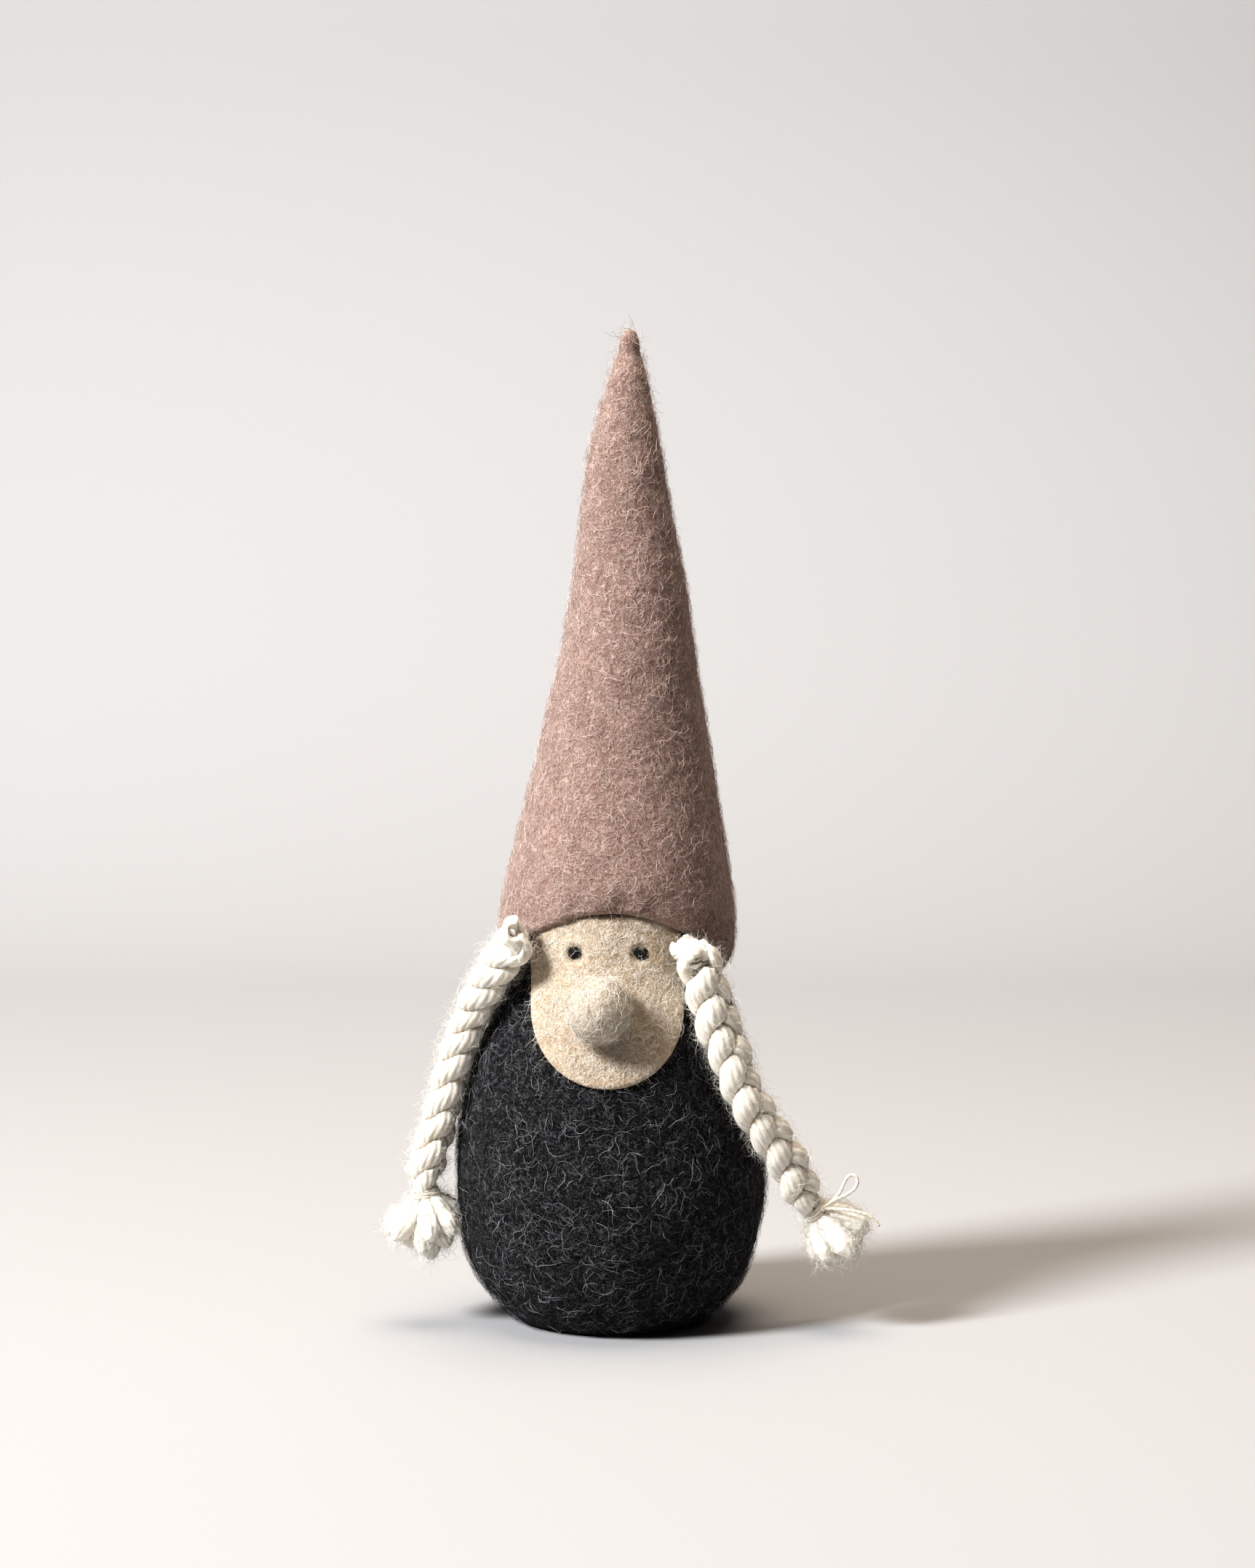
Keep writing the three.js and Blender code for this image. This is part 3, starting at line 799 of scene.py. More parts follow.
def make_stitch(settings, number, degrees, thread):
    """One stitch of thread, lying in the dimple that it pulls into the hat."""
    ends = np.linspace(-1, 1, STITCH_POINTS)
    angle = np.radians(degrees + np.linspace(-3.4, 3.4, STITCH_POINTS))
    line = hat_outside(settings, angle, hem_height(angle) + STITCH_RISE)
    inward = -unit(line * (1, 1, 0))
    sunk = 1.45 * MM + 1.2 * MM * ends**4
    line = line + inward * sunk[:, None]
    radius = 0.42 * MM * np.sqrt(1 - 0.96 * ends**8)
    grid = swept(line, -inward, radius, radius, 10, ply=0.3, plies=2, twist=1500, seed=90)[0]
    piece = add_rings(f"hat_thread_{number}", grid)
    dress(piece, thread, "gnome", "thread", f"hat_stitch_{number}")


def make_hat(settings):
    grid = hat_grid(settings)
    felt = felt_finish(
        "dusty pink felt", settings.deep, settings.middle, settings.pale, 0.95 * MM, pale_share=0.4,
        dark_share=0.5, relief=0.4 * MM, sheen=0.35, sheen_tint=(1, 0.9, 0.86),
    )
    hat = dress(add_rings("hat_felt", grid), felt, "gnome", "hat_felt", "hat_shell")
    loose = fuzz(
        "hat_fibres", [grid[HAT_HIDDEN_ROWS + 1 :]], settings.fibres, 21, settings.fibre_length,
        0.08 * MM, curl=1.8, lift=0.7 * MM, free=0.25,
    )
    wool = fibre_finish("dusty pink fibres", settings.middle, settings.pale, 0.2, 0.9)
    dress(loose, wool, "gnome", "hat_felt")
    # The thread's second colour is the painted shade in its grooves.
    thread = thread_finish("sewing thread", darker(settings.middle, 0.8), settings.deep)
    for number, degrees in enumerate(STITCH_ANGLES):
        make_stitch(settings, number + 1, degrees, thread)


def face_point(across, up, lift, fill=0.0):
    """A place on the felt face: across and up run from -1 to 1 inside its outline, lift is how far
    it lies above the body, and fill is how much more it stands out near the hem."""
    x = across * FACE_HALF + FACE_CENTRE
    above, below = FACE_TOP.z - FACE_MIDDLE, FACE_MIDDLE - FACE_LOW.z
    z = FACE_MIDDLE + np.where(up > 0, up * above, up * below)
    radius = body_radius(z) + lift + fill * smooth((z - 106 * MM) / (15 * MM))
    turn = np.arcsin(np.clip(x / (body_radius(z) + FACE_THICK), -1, 1))
    return round_at(turn, radius, z)


def face_grid(settings):
    """The face's felt, from the middle of its back round its edge to the middle of its front."""
    angle = np.linspace(0, FULL_TURN, FACE_COLUMNS, endpoint=False)[None]
    power = np.where(np.sin(angle) > 0, 4.0, 2.1)
    outline = (np.abs(np.cos(angle)) ** power + np.abs(np.sin(angle)) ** power) ** (-1 / power)
    # Each row: how far out it lies, and its millimetres above the body.
    rows = [(t, 0.1) for t in np.linspace(0.06, 0.97, 12)]
    rows += [(1.0, 0.35), (1.006, 0.9), (1.0, 1.4), (0.985, 1.85), (0.96, 2.15)]
    rows += [(t, 2.3 + 0.35 * (1 - t * t)) for t in np.linspace(0.93, 0.02, 46)]
    grid = []
    for t, lift in rows:
        across, up = t * outline * np.cos(angle), t * outline * np.sin(angle)
        grid.append(face_point(across, up, lift * MM, 1.8 * MM if lift > 1 else 0))
    grid = np.concatenate(grid)
    front = (np.arange(len(grid)) > FACE_HIDDEN_ROWS)[:, None]
    push = layered(grid, (9, 0.35, 7), (3, 0.2, 8))
    pit_radius, rim = 2.7 * MM, 0.25 * MM
    for eye in EYES:
        far = np.linalg.norm((grid - box_middle(eye))[..., [0, 2]], axis=-1) / pit_radius
        push = push - settings.pit * np.exp(-(far**4)) + rim * np.exp(-((far - 1.35) ** 2) * 8)
    return grid + grid_normals(grid) * (push * front)[..., None]


def off_eyes(points):
    """Where loose fibres may start on the face: below the hem and clear of the eyes."""
    highest, clearance = 125 * MM, 5.5 * MM
    free = points[..., 2] < highest
    for eye in EYES:
        far = np.linalg.norm((points - box_middle(eye))[..., [0, 2]], axis=-1)
        free = free & (far > clearance)
    return free


def ball_points(angle, ring, up):
    """Rings of points on a ball of radius 1, each ring of its own radius."""
    x, y = np.sin(angle) * ring, -np.cos(angle) * ring
    return np.stack(np.broadcast_arrays(x, y, np.sin(up)), -1)


def nose_grid():
    low, high = np.array(NOSE_LOW), np.array(NOSE_TOP)
    wide, _, tall = NOSE_TOP - NOSE_LOW
    half = np.array([wide / 2, NOSE_DEEP, tall / 2])
    middle = np.array([(low[0] + high[0]) / 2, low[1] + NOSE_DEEP, (low[2] + high[2]) / 2])
    up = np.linspace(-0.985, 0.985, 46)[:, None] * math.pi / 2
    angle = np.linspace(0, FULL_TURN, NOSE_COLUMNS, endpoint=False)[None]
    ring = np.cos(up) ** 0.96
    ball = ball_points(angle, ring, up)
    fuller_below = 1 + 0.05 * np.clip(-ball[..., 2:], -1, 1)
    ball[..., :2] *= fuller_below
    grid = middle + ball * half * (0.985, 0.985, 1)
    push = layered(grid, (8, 0.45, 9), (2.5, 0.1, 10))
    return grid + grid_normals(grid) * push[..., None]


def make_face(settings):
    grid = face_grid(settings)
    felt = felt_finish(
        "beige felt", settings.deep, settings.middle, settings.pale, 1.3 * MM, pale_share=0.45,
        dark_share=0.3, relief=0.4 * MM, sheen=0.3, sheen_tint=(1, 0.95, 0.88),
    )
    dress(add_rings("face_felt", grid), felt, "gnome", "face_felt", "face_patch")
    loose = fuzz(
        "face_fibres", [grid[FACE_FIBRE_ROW:]], FACE_FIBRES, 31, 6.5 * MM, 0.08 * MM, curl=2.2,
        lift=0.35 * MM, free=0.1, keep=off_eyes,
    )
    wool = fibre_finish("beige fibres", settings.tint, settings.pale, 0.1, 0.5)
    dress(loose, wool, "gnome", "face_felt")

    knob = nose_grid()
    softer = felt_finish(
        "nose felt", darker(settings.nose, 0.72), settings.nose, settings.pale, 0.8 * MM,
        pale_share=0.4, dark_share=0.25, relief=0.22 * MM, sheen=0.3, sheen_tint=(1, 0.95, 0.88),
    )
    nose = dress(add_rings("nose_felt", knob), softer, "gnome", "nose_wool", "nose")
    loose = fuzz(
        "nose_fibres", [knob], NOSE_FIBRES, 32, 6.0 * MM, 0.09 * MM, curl=2.4, lift=0.4 * MM,
        free=0.12,
    )
    wool = fibre_finish("nose fibres", settings.nose, settings.pale, 0.1, 0.6)
    dress(loose, wool, "gnome", "nose_wool")


def eye_grid(node, seed):
    low, high = (np.array(v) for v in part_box(node))
    middle, half = (low + high) / 2, (high - low) / 2
    middle[1] += 0.5 * MM  # seated in its pit
    up = np.linspace(-0.97, 0.97, 18)[:, None] * math.pi / 2
    angle = np.linspace(0, FULL_TURN, EYE_COLUMNS, endpoint=False)[None]
    grid = middle + ball_points(angle, np.cos(up), up) * half * (0.98, 1.0, 0.95)
    return grid + grid_normals(grid) * lumps(grid, 1.6 * MM, 0.45 * MM, seed)[..., None]


def make_eyes(settings):
    black = felt_finish(
        "black wool", darker(settings.eye, 0.5), settings.eye, (0.05, 0.05, 0.05), 0.6 * MM,
        pale_share=0.25, relief=0.4 * MM, sheen=0.05,
    )
    fibres = fibre_finish("eye fibres", settings.eye, settings.pale, 0.72, 0.78)
    for number, node in enumerate(EYES):
        grid = eye_grid(node, 12 + number)
        dress(add_rings(f"{node}_tuft", grid), black, "gnome", "eye_wool", node)
        loose = fuzz(
            f"{node}_fibres", [grid], EYE_FIBRES, 41 + number, 2.6 * MM, 0.11 * MM,
            lift=0.5 * MM, free=0.5,
        )
        dress(loose, fibres, "gnome", "eye_wool")


class Route:
    """A braid's middle line, with its own directions at each distance from its root."""

    def __init__(self, side):
        hang = np.array(BRAID_HANG[side], float) * MM
        whole = np.concatenate([hang, np.array(BRAID_TASSEL[side], float) * MM])
        line, _ = resampled(whole, ROUTE_STEP)
        self.points, self.far = resampled(softened(line, 6), ROUTE_STEP)
        self.ahead = unit(np.gradient(self.points, axis=0))
        facing = math.radians(BRAID_FACING[side])
        out = np.array([math.sin(facing), -math.cos(facing), 0])
        self.out = unit(out - self.ahead * (self.ahead @ out)[:, None])
        self.across = np.cross(self.out, self.ahead)
        self.tied = resampled(hang, ROUTE_STEP)[1][-1]

    def at(self, s):
        """Places, and the directions ahead, out and across, at each of some distances."""
        return tuple(
            np.stack([np.interp(s, self.far, v[:, i]) for i in range(3)], -1)
            for v in (self.points, self.ahead, self.out, self.across)
        )

    def spot(self, s):
        """The same at one distance."""
        return tuple(v[0] for v in self.at(np.array([s])))


def swept(line, out_hint, radius_out, radius_side, cols, ply=0.0, plies=3, twist=0.0, seed=0):
    """Rings round a line, and where each point lies in the wool. The radii are arrays along the
    line. Grooves between its plies run along the strand and turn round it by twist, per metre."""
    ahead = unit(np.gradient(line, axis=0))
    out = unit(out_hint - ahead * (out_hint * ahead).sum(1, keepdims=True))
    side = np.cross(out, ahead)
    angle = np.linspace(0, FULL_TURN, cols, endpoint=False)[None]
    far = np.concatenate([[0], np.cumsum(np.linalg.norm(np.diff(line, axis=0), axis=1))])[:, None]
    turned = angle + twist * far
    crest = np.abs(np.cos(plies / 2 * turned))
    groove = 1 + ply * (crest - 0.64)
    a = side[:, None] * (np.cos(angle) * radius_side[:, None] * groove)[..., None]
    b = out[:, None] * (np.sin(angle) * radius_out[:, None] * groove)[..., None]
    grid = line[:, None] + a + b
    push = lumps(grid, 3.2 * MM, 0.2 * MM, seed)
    grid = grid + unit(a + b) * (push * np.minimum(1, radius_side / (1.5 * MM))[:, None])[..., None]
    mean = (radius_side + radius_out)[:, None] / 2
    lay = np.stack([np.cos(turned) * mean, np.sin(turned) * mean, far + 0 * angle + seed * 0.1], -1)
    # The third value is how deep each point lies in a groove between plies, painted as shade on the
    # braids' strands.
    return grid, lay, 0.8 * (1 - crest) ** 2


def strand_line(route, settings, k):
    """Middle line and radii of strand k of three, woven over and under, down to the string."""
    s = np.arange(0.0, route.tied + 1.8 * MM, ROUTE_STEP)
    points, _, out, across = route.at(s)
    past = s - route.tied
    third = k * FULL_TURN / 3
    phase = (past + 1.2 * MM) / settings.period * FULL_TURN + math.pi / 6 + third
    thick, flat = settings.width * 0.31, settings.depth * 0.34
    wide, deep = settings.width / 2 - thick, settings.depth / 2 - flat
    swell = 1 + 0.09 * np.sin(s / (17 * MM) + k)
    side = math.pi / 3 - third
    pull = smooth((past + 9 * MM) / (8.5 * MM))
    over = mix(deep * np.sin(2 * phase), 1.5 * MM * math.sin(side), pull)
    aside = mix(wide * swell * np.sin(phase), 1.5 * MM * math.cos(side), pull)
    line = points + across * aside[:, None] + out * over[:, None]
    line = softened(line - out * (2.5 * MM * smooth((4.5 * MM - s) / (4 * MM)))[:, None], 2)
    plump = swell * (1 + 0.06 * np.sin(2 * phase))
    end = np.sqrt(np.clip((s + 0.1 * MM) / (3.6 * MM), 0.1, 1))
    radius_side = mix(thick * plump, 2.3 * MM, pull) * end
    radius_out = mix(flat * plump, 2.1 * MM, pull) * end
    return line, out, radius_out, radius_side


def nearest(points, line):
    """The place on a line's points that is nearest to each of some places."""
    flat = points.reshape(-1, 3)
    far = (line**2).sum(1)[None] - 2 * flat @ line.T
    return line[far.argmin(1)].reshape(points.shape)


def pressed(grid, line, others):
    """Soft wool gives way: no strand reaches past halfway to the middle of a neighbour."""
    middle = line[:, None]
    reach = grid - middle
    share = np.ones(grid.shape[:2])
    for _ in range(4):
        for other in others:
            across = nearest(middle + reach * share[..., None], other) - middle
            toward = (reach * across).sum(-1)
            halfway = (across**2).sum(-1) / (2 * np.maximum(toward, 1e-12))
            share = np.minimum(share, np.where(toward > 0, PRESSED_GAP * halfway, 1))
    return middle + reach * share[..., None]


def contact_shade(grids, wide):
    """How near each point of some strands lies to another of them: 1 in a crease, 0 when open. It
    sets how much painted shade each point gets.
    """
    trees = []
    for grid in grids:
        faces, _ = ring_faces(*grid.shape[:2])
        trees.append(BVHTree.FromPolygons([Vector(v) for v in ring_verts(grid)], faces))
    found = []
    for number, grid in enumerate(grids):
        near = np.full(grid.shape[0] * grid.shape[1], wide)
        for other, tree in enumerate(trees):
            if other != number:
                far = [tree.find_nearest(Vector(p), wide)[3] for p in grid.reshape(-1, 3)]
                near = np.minimum(near, [wide if d is None else d for d in far])
        found.append(smooth(1 - near / wide).reshape(grid.shape[:2]))
    return found


def mark_wool(piece, lays, shade_masks):
    """Writes where each vertex lies in its strand's wool and how much painted shade it gets there,
    in creases and ply grooves.
    """
    lay = piece.data.attributes.new("lay", "FLOAT_VECTOR", "POINT")
    places_in_wool = np.concatenate([ring_verts(v) for v in lays])
    lay.data.foreach_set("vector", places_in_wool.astype(np.float32).ravel())
    crease = piece.data.attributes.new("crease", "FLOAT", "POINT")
    whole = [np.concatenate([v.ravel(), [v[0].mean(), v[-1].mean()]]) for v in shade_masks]
    crease.data.foreach_set("value", np.concatenate(whole).astype(np.float32))


def make_strands(side, route, settings, wool):
    """The three strands of a braid. Gives their grids and their middle lines."""
    grids, lays, lines, radii, groove_shades = [], [], [], [], []
    for k in range(3):
        line, out, radius_out, radius_side = strand_line(route, settings, k)
        grid, lay, groove = swept(
            line, out, radius_out, radius_side, 99, ply=ROVING_PLY_DEPTH, plies=ROVING_PLIES,
            twist=settings.twist, seed=20 + k,
        )
        groove_shades.append(groove)
        grids.append(grid)
        lays.append(lay)
        lines.append(line)
        radii.append(radius_side)
    folded = fold_lines(route)
    grids = [
        pressed(grid, lines[k], lines[:k] + lines[k + 1 :] + folded) for k, grid in enumerate(grids)
    ]
    # Painted shade on the strands: tan where they press together and in the grooves between their
    # plies.
    shade_masks = [np.maximum(f, g) for f, g in zip(contact_shade(grids, 1.3 * MM), groove_shades)]
    for k, line in enumerate(lines):
        piece = add_rings(f"braid_{side}_wool_{k + 1}", grids[k])
        mark_wool(piece, [lays[k]], [shade_masks[k]])
        dress(piece, wool, f"{side}_braid", "braid_wool", f"braid_{side}_strand_{k + 1}")
    return grids, lines


def lock_grids(side, route, rng):
    """The fluffy locks below the string, fanned out round the braid's own direction."""
    root, _, out, across = route.spot(route.tied - 0.6 * MM)
    ahead = unit(route.points[-1] - root)
    lean, full = math.radians(TASSEL_LEAN[side]), TASSEL_LENGTH[side]
    # Each lock: its angle round the tassel and how far it leans out, in radians. Seven lie outside,
    # five inside them and one in the middle.
    outer = np.linspace(0.2, 6.48, 8)[:-1]
    fan = [(a + rng.uniform(-0.15, 0.15), lean * rng.uniform(0.9, 1.05)) for a in outer]
    fan += [(a, lean * 0.5) for a in (0.6, 1.9, 3.2, 4.4, 5.7)] + [(0.0, 0.05)]
    grids, lays = [], []
    for number, (angle, tilt) in enumerate(fan):
        length = full * rng.uniform(0.9, 1.08) * (1 - 0.1 * tilt)
        aside = across * math.cos(angle) + out * math.sin(angle)
        t = np.linspace(0, 1, LOCK_POINTS)
        open_up = tilt * (0.55 + 0.45 * smooth(t * 2.2)) + 0.12 * np.sin(5 * t + number)
        way = ahead * np.cos(open_up)[:, None] + aside * np.sin(open_up)[:, None]
        way = unit(way + np.array([0, 0, -0.3]) * t[:, None] ** 2)
        steps = way[:-1] * length / (LOCK_POINTS - 1)
        line = root + np.concatenate([[np.zeros(3)], np.cumsum(steps, 0)])
        swell = smooth(t * 2.5) * (1 - 0.22 * smooth((t - 0.6) / 0.4))
        rounded = np.sqrt(np.clip((1.02 - t) / 0.2, 0.02, 1))
        radius = mix(1.3, rng.uniform(3.5, 4.2), swell) * MM * rounded
        hint = np.broadcast_to(out, line.shape)
        grid, lay, _ = swept(
            line, hint, radius * 0.9, radius, 54, ply=0.13, plies=9, twist=45, seed=30 + number
        )
        grid = grid + grid_normals(grid) * lumps(grid, 1.7 * MM, 0.3 * MM, number)[..., None]
        grid[..., 2] = np.maximum(grid[..., 2], TASSEL_FLOOR)
        from_middle = np.linalg.norm(grid[..., :2], axis=-1)
        clear = body_radius(grid[..., 2]) + TASSEL_CLEAR
        grid[..., :2] *= np.maximum(1, clear / from_middle)[..., None]
        grids.append(grid)
        lays.append(lay)
    return grids, lays


def make_tassel(side, route, wool, seed):
    """The locks of a tassel as one piece. Gives their grids."""
    grids, lays = lock_grids(side, route, np.random.default_rng(seed))
    piece = add_rings(f"braid_{side}_tassel", *grids)
    # Painted shade, weaker, where the locks press together.
    mark_wool(piece, lays, [f * 0.6 for f in contact_shade(grids, 1.2 * MM)])
    dress(piece, wool, f"{side}_braid", "braid_wool")
    return grids


def make_string(side, route, cotton):
    """String wound round the neck of the braid and knotted, with a loop and a tail on the right."""
    root, ahead, out, across = route.spot(route.tied)
    turn = np.linspace(0, 3 * FULL_TURN, 90)
    around = 3.7 * MM + 0.15 * MM * np.sin(turn * 1.7)
    wound = root + (
        across * (np.cos(turn) * around)[:, None] + out * (np.sin(turn) * around)[:, None]
        + ahead * np.linspace(-1.3, 1.3, 90)[:, None] * MM
    )
    knot = root + out * 4.0 * MM
    curl = np.linspace(0, 2.4 * FULL_TURN, 60)
    ball = knot + (
        across * (np.cos(curl) * 0.75)[:, None] + ahead * (np.sin(curl * 1.3) * 0.8)[:, None]
        + out * (np.sin(curl) * 0.5)[:, None]
    ) * MM
    lines = [(wound, 3), (ball, 3)]
    if side in STRING_LOOP:
        lines.append((np.array([knot, *(np.array(STRING_LOOP[side]) * MM), knot]), 7))
    if side in STRING_TAIL:
        lines.append((np.array([knot, *(np.array(STRING_TAIL[side]) * MM)]), 7))
    grids = []
    for line, spread in lines:
        fine = softened(resampled(line, 0.3 * MM)[0], spread)
        radius = np.full(len(fine), STRING_RADIUS)
        radius[[0, -1]] = 0.2 * MM
        hint = np.cross(unit(np.gradient(fine, axis=0)), np.array([0.31, 0.23, 0.92]))
        grid = swept(fine, hint, radius, radius, 10, ply=0.35, plies=2, twist=1800, seed=50)[0]
        grids.append(grid)
    piece = add_rings(f"braid_{side}_tie", *grids)
    dress(piece, cotton, f"{side}_braid", "thread", f"braid_{side}_string")


def fold_lines(route):
    """Middle lines of the folded tops of a braid, where it comes out from under the hem."""
    root, ahead, out, across = route.spot(0.0)
    lines = []
    for aside, reach in ((-2.3, 0.9), (0.2, 1.7), (2.3, 0.8)):
        # Millimetres out and ahead of the root, from inside the hem to over the strands.
        bend = [(-7, 1.4), (-4, 1), (-1.2, 1.8), (reach, 4.2), (reach - 0.6, 7.5)]
        line = [root + (across * aside + out * o + ahead * a) * MM for o, a in bend]
        lines.append(softened(resampled(line, 0.4 * MM)[0], 4))
    return lines


def make_top(side, route, settings, wool, strand_middles):
    """The folded wool tops of a braid, pressed against each other and against its strands."""
    ahead = route.spot(0.0)[1]
    lines = fold_lines(route)
    grids, lays = [], []
    for number, line in enumerate(lines):
        t = np.linspace(0, 1, len(line))
        radius = 3.1 * MM * np.sqrt(np.clip(np.minimum(t, 1 - t) * 6, 0.04, 1))
        hint = np.broadcast_to(ahead, line.shape)
        grid, lay, _ = swept(
            line, hint, radius, radius, 66, ply=ROVING_PLY_DEPTH, plies=ROVING_PLIES,
            twist=settings.twist, seed=60 + number,
        )
        others = lines[:number] + lines[number + 1 :]
        grids.append(pressed(grid, line, others + strand_middles))
        lays.append(lay)
    piece = add_rings(f"braid_{side}_fold", *grids)
    # Painted shade where the folded tops press together.
    mark_wool(piece, lays, contact_shade(grids, 1.0 * MM))
    dress(piece, wool, f"{side}_braid_root", "braid_wool", f"braid_{side}_top")


def make_braid(side, settings, seed):
    route = Route(side)
    wool = roving_finish(f"cream roving {side}", settings.pale, settings.tan)
    # The string's second colour is the painted shade in its grooves.
    cotton = thread_finish(f"cotton string {side}", settings.string, darker(settings.string, 0.6))
    fibres = fibre_finish(f"cream fibres {side}", darker(settings.pale, 0.8), settings.pale)
    grids, middles = make_strands(side, route, settings, wool)
    locks = make_tassel(side, route, wool, seed)
    make_string(side, route, cotton)
    make_top(side, route, settings, wool, middles)
    fluff = fuzz(
        f"braid_{side}_fluff", grids, BRAID_FIBRES, seed + 1, 5.5 * MM, 0.06 * MM, curl=1.2,
        lift=1.5 * MM, spread=0.6, free=0.5,
    )
    wisps = fuzz(
        f"braid_{side}_wisps", locks, BRAID_FIBRES, seed + 2, 6.0 * MM, 0.06 * MM, curl=1.6,
        lift=1.5 * MM, spread=0.7, free=0.45, steps=6,
    )
    for loose in (fluff, wisps):
        dress(loose, fibres, f"{side}_braid", "braid_wool")


def make_braids(settings):
    """Both braids, each from its own seed."""
    for side, seed in (("left", 70), ("right", 80)):
        make_braid(side, settings, seed)


def hang_lamp(name, lamp, place, way):
    """Puts a lamp at a place so that it shines against a direction."""
    holder = add_object(name, lamp)
    holder.location = place
    holder.rotation_euler = way.to_track_quat("Z", "Y").to_euler()


def make_stage(settings):
    """Camera, lights and a sheet of paper that curves up behind the gnome."""
    scene = bpy.context.scene
    camera = bpy.data.cameras.new("camera")
    camera.lens = settings.lens
    camera.sensor_fit = "VERTICAL"
    camera.sensor_height = 36
    camera.sensor_width = 36
    eye = add_object("camera", camera)
    eye.location = (settings.aside, -settings.distance, settings.height)
    eye.rotation_euler = (math.pi / 2 - settings.down, 0, 0)
    scene.camera = eye
    scene.view_settings.view_transform = "Standard"
    scene.view_settings.look = "Medium High Contrast"

    world = bpy.data.worlds.new("room")
    world.use_nodes = True
    tree = world.node_tree
    air = tree.nodes["Background"]
    air.inputs["Color"].default_value = (1.0, 0.94, 0.88, 1)
    air.inputs["Strength"].default_value = 0.02
    past_paper = {"Color": (0.79, 0.755, 0.735, 1), "Strength": 1.0}
    beyond = add_node(tree, "ShaderNodeBackground", past_paper)
    seen = add_node(tree, "ShaderNodeLightPath").outputs["Is Camera Ray"]
    both = add_node(tree, "ShaderNodeMixShader", {0: seen, 1: air.outputs[0], 2: beyond.outputs[0]})
    tree.links.new(both.outputs[0], tree.nodes["World Output"].inputs["Surface"])
    scene.world = world

    # Each lamp: azimuth and height in degrees, distance, size, power and colour.
    lamps = (
        ("key", -54, 38, 3.0, 0.8, settings.key, (0.99, 0.99, 0.99)),
        ("top", 180, 86, 1.35, 1.2, settings.top, (1.0, 0.86, 0.72)),
    )
    for name, azimuth, height, distance, size, power, colour in lamps:
        lamp = bpy.data.lights.new(name, "AREA")
        lamp.shape = "DISK"
        lamp.size = size
        lamp.energy = power
        lamp.color = colour
        turn, lift = math.radians(azimuth), math.radians(height)
        x, y = math.sin(turn) * math.cos(lift), -math.cos(turn) * math.cos(lift)
        way = Vector((x, y, math.sin(lift)))
        hang_lamp(name, lamp, Vector((0, 0, 0.12)) + way * distance, way)

    wash = bpy.data.lights.new("wash", "AREA")
    wash.shape, wash.size, wash.size_y = "RECTANGLE", 1.4, 0.3
    wash.energy = settings.wash
    wash.spread = math.radians(75)
    hang_lamp("wash", wash, (0, 0.45, 1.3), Vector((0, -0.75, 0.95)))

    near, far, bend, top, half = -0.5, 0.75, 0.5, 1.1, 0.6
    quarter = np.linspace(0, math.pi / 2, 24)
    curve = [(far + bend * math.sin(a), bend * (1 - math.cos(a))) for a in quarter]
    line = [(near, 0.0), *curve, (far + bend, top)]
    verts = [(x, y, z - 0.05 * MM) for y, z in line for x in (-half, half)]
    faces = [(2 * i, 2 * i + 1, 2 * i + 3, 2 * i + 2) for i in range(len(line) - 1)]
    paper = add_mesh("backdrop", verts, faces)
    paper.data.materials.append(paper_finish("backdrop paper", settings.paper))


# ---- operators ----------------------------------------------------------------------------------


class GNOME_OT_stage(bpy.types.Operator):
    """Set up the camera, the lights and the backdrop"""

    bl_idname = "gnome.stage"
    bl_label = "Stage"

    def execute(self, context):
        make_stage(context.scene.gnome_stage)
        return {"FINISHED"}


class GNOME_OT_braids(bpy.types.Operator):
    """Plait the two braids with their tassels and strings"""

    bl_idname = "gnome.braids"
    bl_label = "Braids"

    def execute(self, context):
        make_braids(context.scene.gnome_braids)
        return {"FINISHED"}


class GNOME_OT_body(bpy.types.Operator):
    """Felt the body and stuff it"""

    bl_idname = "gnome.body"
    bl_label = "Body"

    def execute(self, context):
        make_body(context.scene.gnome_felt)
        return {"FINISHED"}


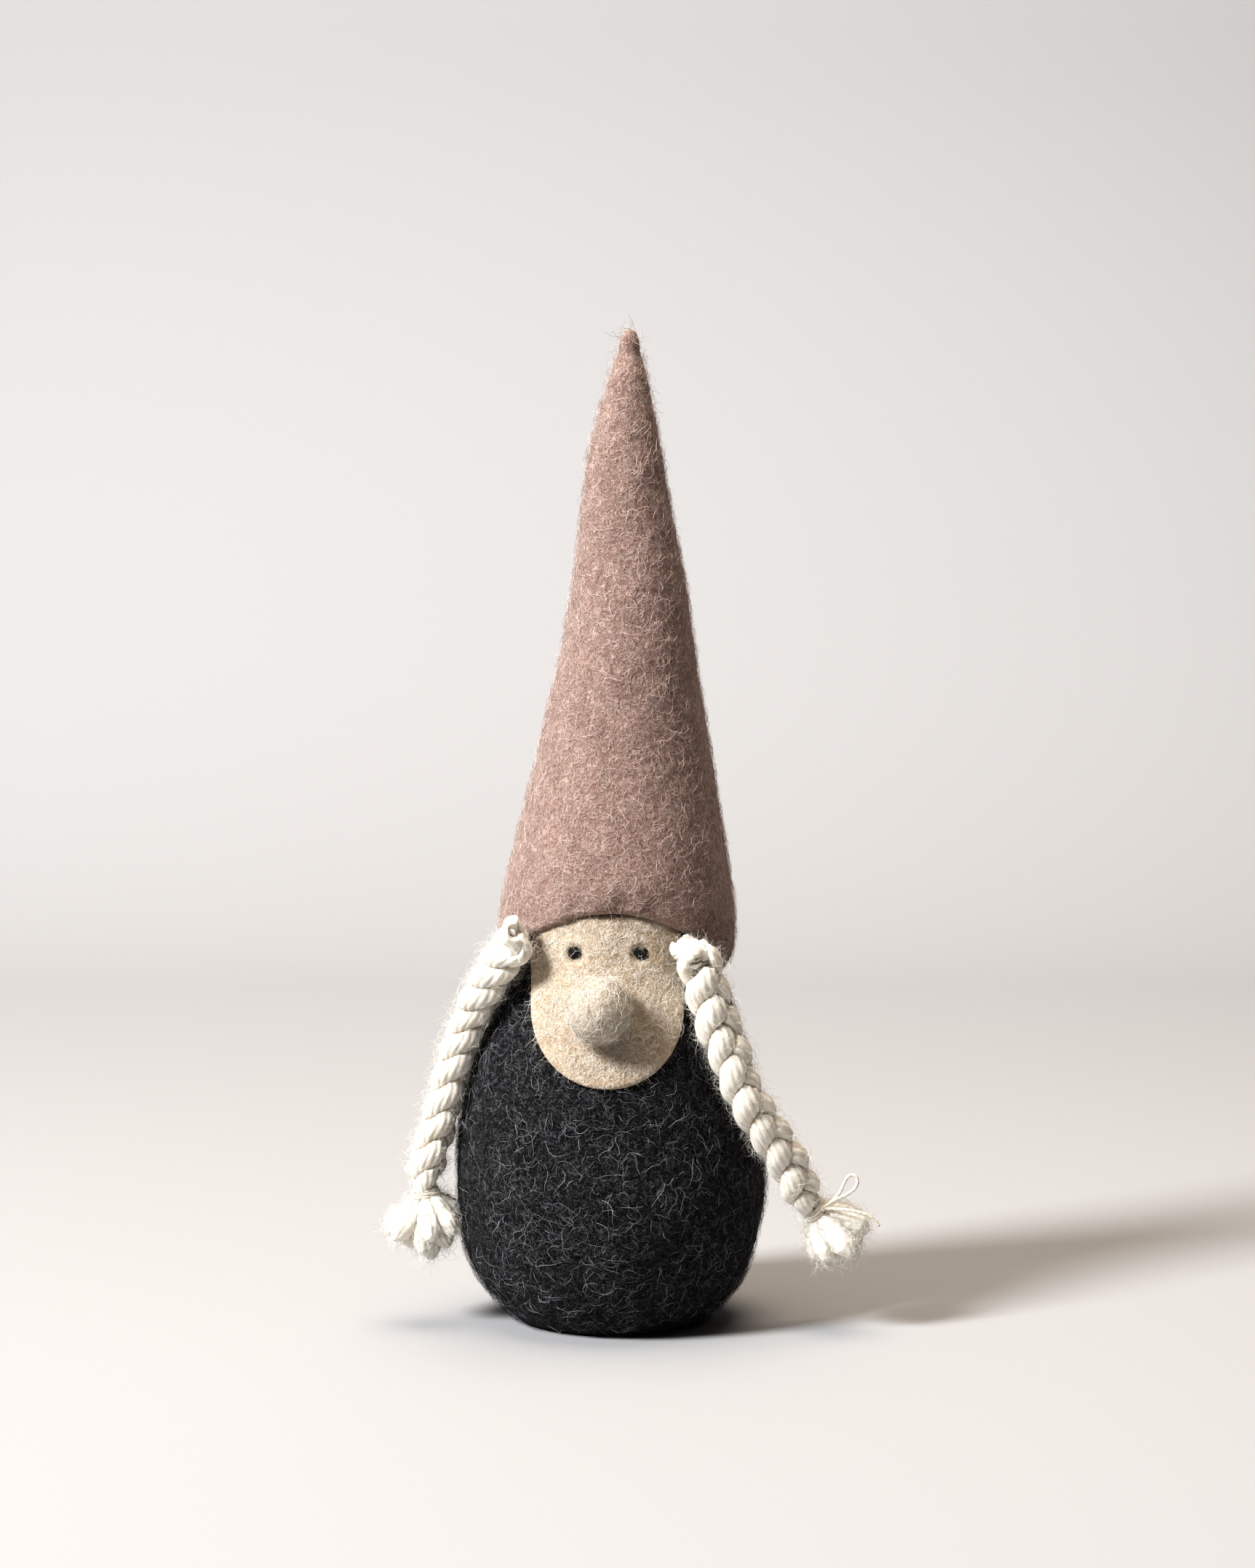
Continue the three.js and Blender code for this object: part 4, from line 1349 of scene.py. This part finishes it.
class GNOME_OT_hat(bpy.types.Operator):
    """Felt the hat and sew it on"""

    bl_idname = "gnome.hat"
    bl_label = "Hat"

    def execute(self, context):
        make_hat(context.scene.gnome_hat)
        return {"FINISHED"}


class GNOME_OT_face(bpy.types.Operator):
    """Felt the face and the nose"""

    bl_idname = "gnome.face"
    bl_label = "Face and nose"

    def execute(self, context):
        make_face(context.scene.gnome_face)
        return {"FINISHED"}


class GNOME_OT_eyes(bpy.types.Operator):
    """Push in the two eye tufts"""

    bl_idname = "gnome.eyes"
    bl_label = "Eyes"

    def execute(self, context):
        make_eyes(context.scene.gnome_face)
        return {"FINISHED"}


OPERATORS = (
    GNOME_OT_stage, GNOME_OT_braids, GNOME_OT_body, GNOME_OT_hat, GNOME_OT_face, GNOME_OT_eyes,
)


class GNOME_PT_panel(bpy.types.Panel):
    """Lists the gnome's pieces and what can be changed on them"""

    bl_idname = "GNOME_PT_panel"
    bl_label = "Felt Gnome"
    bl_space_type = "VIEW_3D"
    bl_region_type = "UI"
    bl_category = "Gnome"

    def draw(self, context):
        for operator in OPERATORS:
            self.layout.operator(operator.bl_idname)
        for group in SETTINGS:
            box = self.layout.box()
            box.label(text=SETTINGS[group].__doc__)
            for name in SETTINGS[group].__annotations__:
                box.prop(getattr(context.scene, group), name)


SETTINGS = {
    "gnome_stage": GnomeStageSettings,
    "gnome_braids": GnomeBraidSettings,
    "gnome_felt": GnomeFeltSettings,
    "gnome_hat": GnomeHatSettings,
    "gnome_face": GnomeFaceSettings,
}


def register():
    for kind in (*SETTINGS.values(), *OPERATORS, GNOME_PT_panel):
        bpy.utils.register_class(kind)
    for name, kind in SETTINGS.items():
        setattr(bpy.types.Scene, name, PointerProperty(type=kind))


def unregister():
    for name in SETTINGS:
        delattr(bpy.types.Scene, name)
    for kind in reversed((*SETTINGS.values(), *OPERATORS, GNOME_PT_panel)):
        bpy.utils.unregister_class(kind)


def main():
    register()
    bpy.ops.gnome.stage()
    bpy.ops.gnome.braids()
    bpy.ops.gnome.body()
    bpy.ops.gnome.hat()
    bpy.ops.gnome.face()
    bpy.ops.gnome.eyes()


if __name__ == "__main__":
    main()
